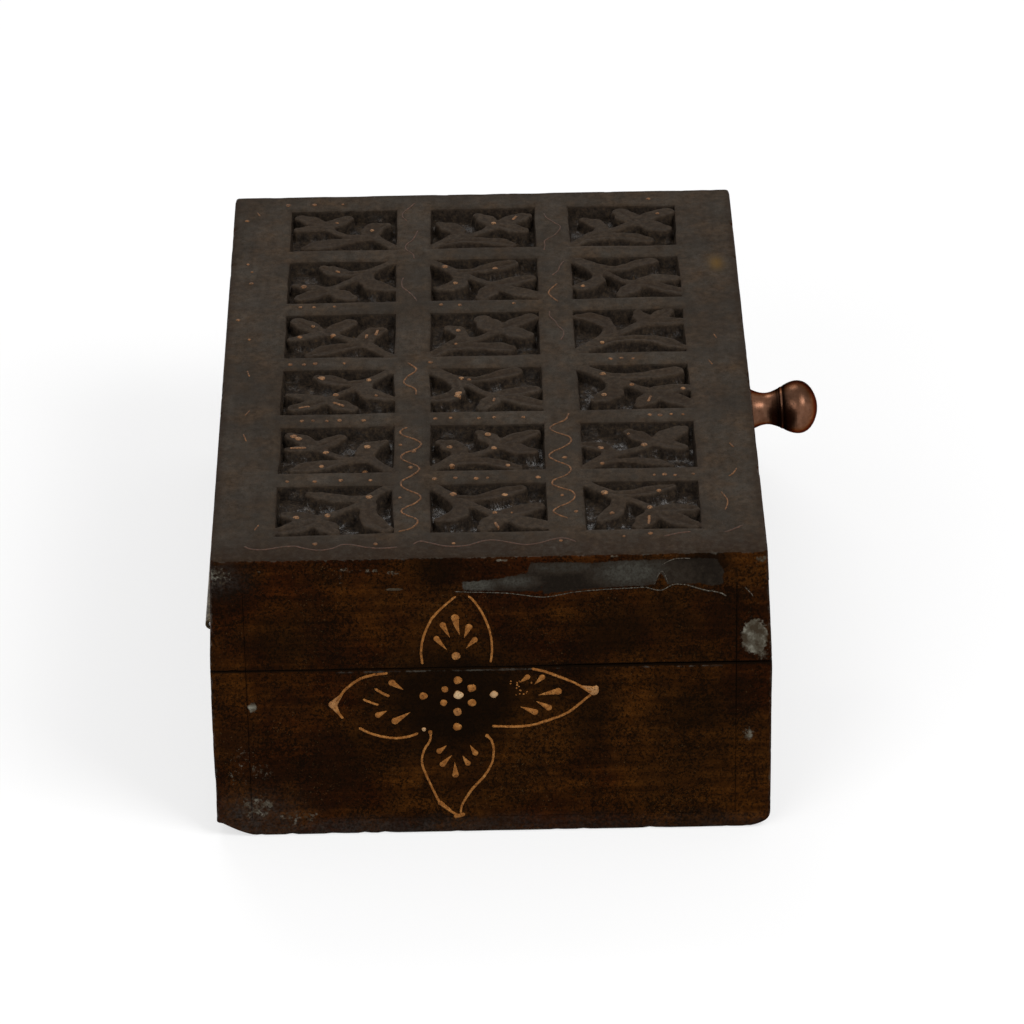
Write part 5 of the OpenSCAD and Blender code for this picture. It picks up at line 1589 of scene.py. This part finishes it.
def knob():
    """The turned knob, with a fine ring below its head, square to the leaning front."""
    tilt = math.atan2(LEAN, LID_H)
    z0 = TOP_Z - KNOB_DROP
    foot = np.array([0.0, KNOB_SUNK - lid_y(z0), z0])
    out = np.array([0.0, -math.cos(tilt), math.sin(tilt)])
    up = np.array([0.0, math.sin(tilt), math.cos(tilt)])
    side = np.array([1.0, 0.0, 0.0])
    places = np.arange(len(KNOB_OUTLINE))
    fine = np.linspace(0, places[-1], 3 * places[-1] + 1)
    s, r = (np.interp(fine, places, column) for column in zip(*KNOB_OUTLINE))
    turn = np.linspace(0, 2 * math.pi, KNOB_SIDES, endpoint=False)
    spokes = np.cos(turn)[None, :, None] * side + np.sin(turn)[None, :, None] * up
    rings = foot + s[:-1, None, None] * out + r[:-1, None, None] * spokes
    verts = np.vstack([rings.reshape(-1, 3), foot + s[-1] * out])
    verts = verts + 0.02 * shifts(verts, 4, 71, 3)
    tip = len(verts) - 1
    faces = ring_faces(np.arange(tip).reshape(-1, KNOB_SIDES)[::-1], tip)
    piece = new_piece("turned_knob", verts, faces, "lid", [BRONZE])
    face_outward(piece)
    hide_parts("knob")
    # Dirt with painted shade for the bronze
    put(piece, "grime_and_shade", knob_grime_and_shade((verts - foot) @ out, (verts - foot) @ up, vnoise(verts, 5, 74)))


# --------------------------------------------------- metal parts of the frame

NODE_MATERIALS = {
    "left_hinge_base_leaf": HINGE, "left_hinge_lid_leaf": HINGE, "right_hinge_base_leaf": HINGE,
    "right_hinge_lid_leaf": HINGE, "left_hinge_pin": STEEL, "right_hinge_pin": STEEL,
    "base_hinge_screws": SCREW, "lid_hinge_screws": SCREW, "knob_screw": STEEL,
    "base_corner_nails": STEEL, "lid_corner_nails": STEEL, "bottom_board_nails": STEEL}


def dress_nodes():
    """Gives the CAD nodes that stay in view their materials."""
    for name, material in NODE_MATERIALS.items():
        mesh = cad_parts[name].data
        mesh.materials.clear()
        mesh.materials.append(material)


# ---------------------------------------------------------- camera and studio

CAMERA_PLACE = (-1551.47, -0.34, 940.83)
CAMERA_DOWN, CAMERA_YAW, CAMERA_ROLL = (math.radians(a) for a in (29.988, -0.284, -0.926))
SENSOR = 36                          # width of the sensor
FOCAL_PIXELS, IMAGE_PIXELS = 5300, 1024
FLOOR_TONES = [(0.3, (0.60, 0.60, 0.60)), (0.7, (0.62, 0.62, 0.62))]
WHITE = (1.0, 1.0, 1.0)
SHOWN_WHITE = 0.62                   # how much of the seen floor is plain white


def camera():
    """The photograph's viewpoint: above the left end, looking along the box."""
    level = Vector((math.cos(CAMERA_YAW), math.sin(CAMERA_YAW), 0))
    ahead = math.cos(CAMERA_DOWN) * level - Vector((0, 0, math.sin(CAMERA_DOWN)))
    up0 = math.sin(CAMERA_DOWN) * level + Vector((0, 0, math.cos(CAMERA_DOWN)))
    right0 = ahead.cross(up0)
    right = math.cos(CAMERA_ROLL) * right0 + math.sin(CAMERA_ROLL) * up0
    up = math.cos(CAMERA_ROLL) * up0 - math.sin(CAMERA_ROLL) * right0
    data = bpy.data.cameras.new("camera")
    data.sensor_width = SENSOR
    data.lens = FOCAL_PIXELS / IMAGE_PIXELS * SENSOR
    data.clip_start = 0.05
    data.clip_end = 50
    cam = scene_object("camera", data)
    turned = Matrix((right, up, -ahead)).transposed()
    cam.matrix_world = Matrix.Translation(Vector(CAMERA_PLACE) * MM) @ turned.to_4x4()
    bpy.context.scene.camera = cam


def area_light(name, place, target, size, watts):
    """A soft square light at place, aimed at target, both in metres."""
    data = bpy.data.lights.new(name, "AREA")
    data.shape = "SQUARE"
    data.size = size
    data.energy = watts
    light = scene_object(name, data)
    light.location = place
    aim = Vector(target) - Vector(place)
    light.rotation_euler = aim.to_track_quat("-Z", "Y").to_euler()


def seen_share(n):
    """1 for the camera's own rays and for those that metal and glass send on."""
    path = n.nt.nodes.new("ShaderNodeLightPath").outputs
    return n.any_of(path["Is Camera Ray"], path["Is Glossy Ray"], path["Is Transmission Ray"])


def mixed_shader(n, share, a, b):
    """Shader a where the share is 0, b where it is 1."""
    mix = n.nt.nodes.new("ShaderNodeMixShader")
    for socket, value in zip(mix.inputs, (share, a.outputs[0], b.outputs[0])):
        n.link(value, socket)
    return mix.outputs[0]


def pale_floor():
    """A pale floor that keeps the object's shadow and is seen nearly white."""
    reach, under = 8000.0, -0.2
    corners = [(x * reach, y * reach, under) for x, y in ((-1, -1), (1, -1), (1, 1), (-1, 1))]
    floor = mesh_object("floor", corners, [(0, 1, 2, 3)])
    m, n, bsdf = tree("floor")
    seen = seen_share(n)
    n.link(n.mix(seen, n.ramp(n.noise(60, 2), FLOOR_TONES), WHITE), bsdf.inputs["Base Color"])
    bsdf.inputs["Roughness"].default_value = 0.9
    bsdf.inputs["Specular IOR Level"].default_value = 0.0
    glow = m.node_tree.nodes.new("ShaderNodeEmission")
    glow.inputs["Color"].default_value = (*WHITE, 1)
    glow.inputs["Strength"].default_value = 1.0
    shown = mixed_shader(n, n.times(seen, SHOWN_WHITE), bsdf, glow)
    n.link(shown, m.node_tree.nodes["Material Output"].inputs["Surface"])
    floor.data.materials.append(m)


def surroundings():
    """A world that lights the box softly and is seen white."""
    world = bpy.data.worlds.new("surroundings")
    bpy.context.scene.world = world
    world.use_nodes = True
    n = Nodes(world.node_tree)
    lit = n.nt.nodes["Background"]
    seen = n.nt.nodes.new("ShaderNodeBackground")
    for background, strength in ((lit, 0.50), (seen, 1.0)):
        background.inputs["Color"].default_value = (*WHITE, 1)
        background.inputs["Strength"].default_value = strength
    n.link(mixed_shader(n, seen_share(n), lit, seen), n.nt.nodes["World Output"].inputs["Surface"])


def lamps():
    """Soft lights from above, at a level at which a colour renders about as written."""
    area_light("key", (-0.9, -1.1, 1.6), (0, 0, 0.05), 0.9, 22)
    area_light("fill", (-1.4, 1.0, 1.0), (0, 0, 0.05), 1.2, 12)
    area_light("back", (1.1, 0.3, 1.5), (0, 0, 0.08), 0.65, 6.5)


boards()
bottom_board()
carved_top()
flower_on_lid()
flower_on_base()
peeling_edges()
top_relief()
faint_scrolls()
knob()
dress_nodes()
camera()
pale_floor()
surroundings()
lamps()
bpy.context.scene.view_settings.view_transform = "Standard"
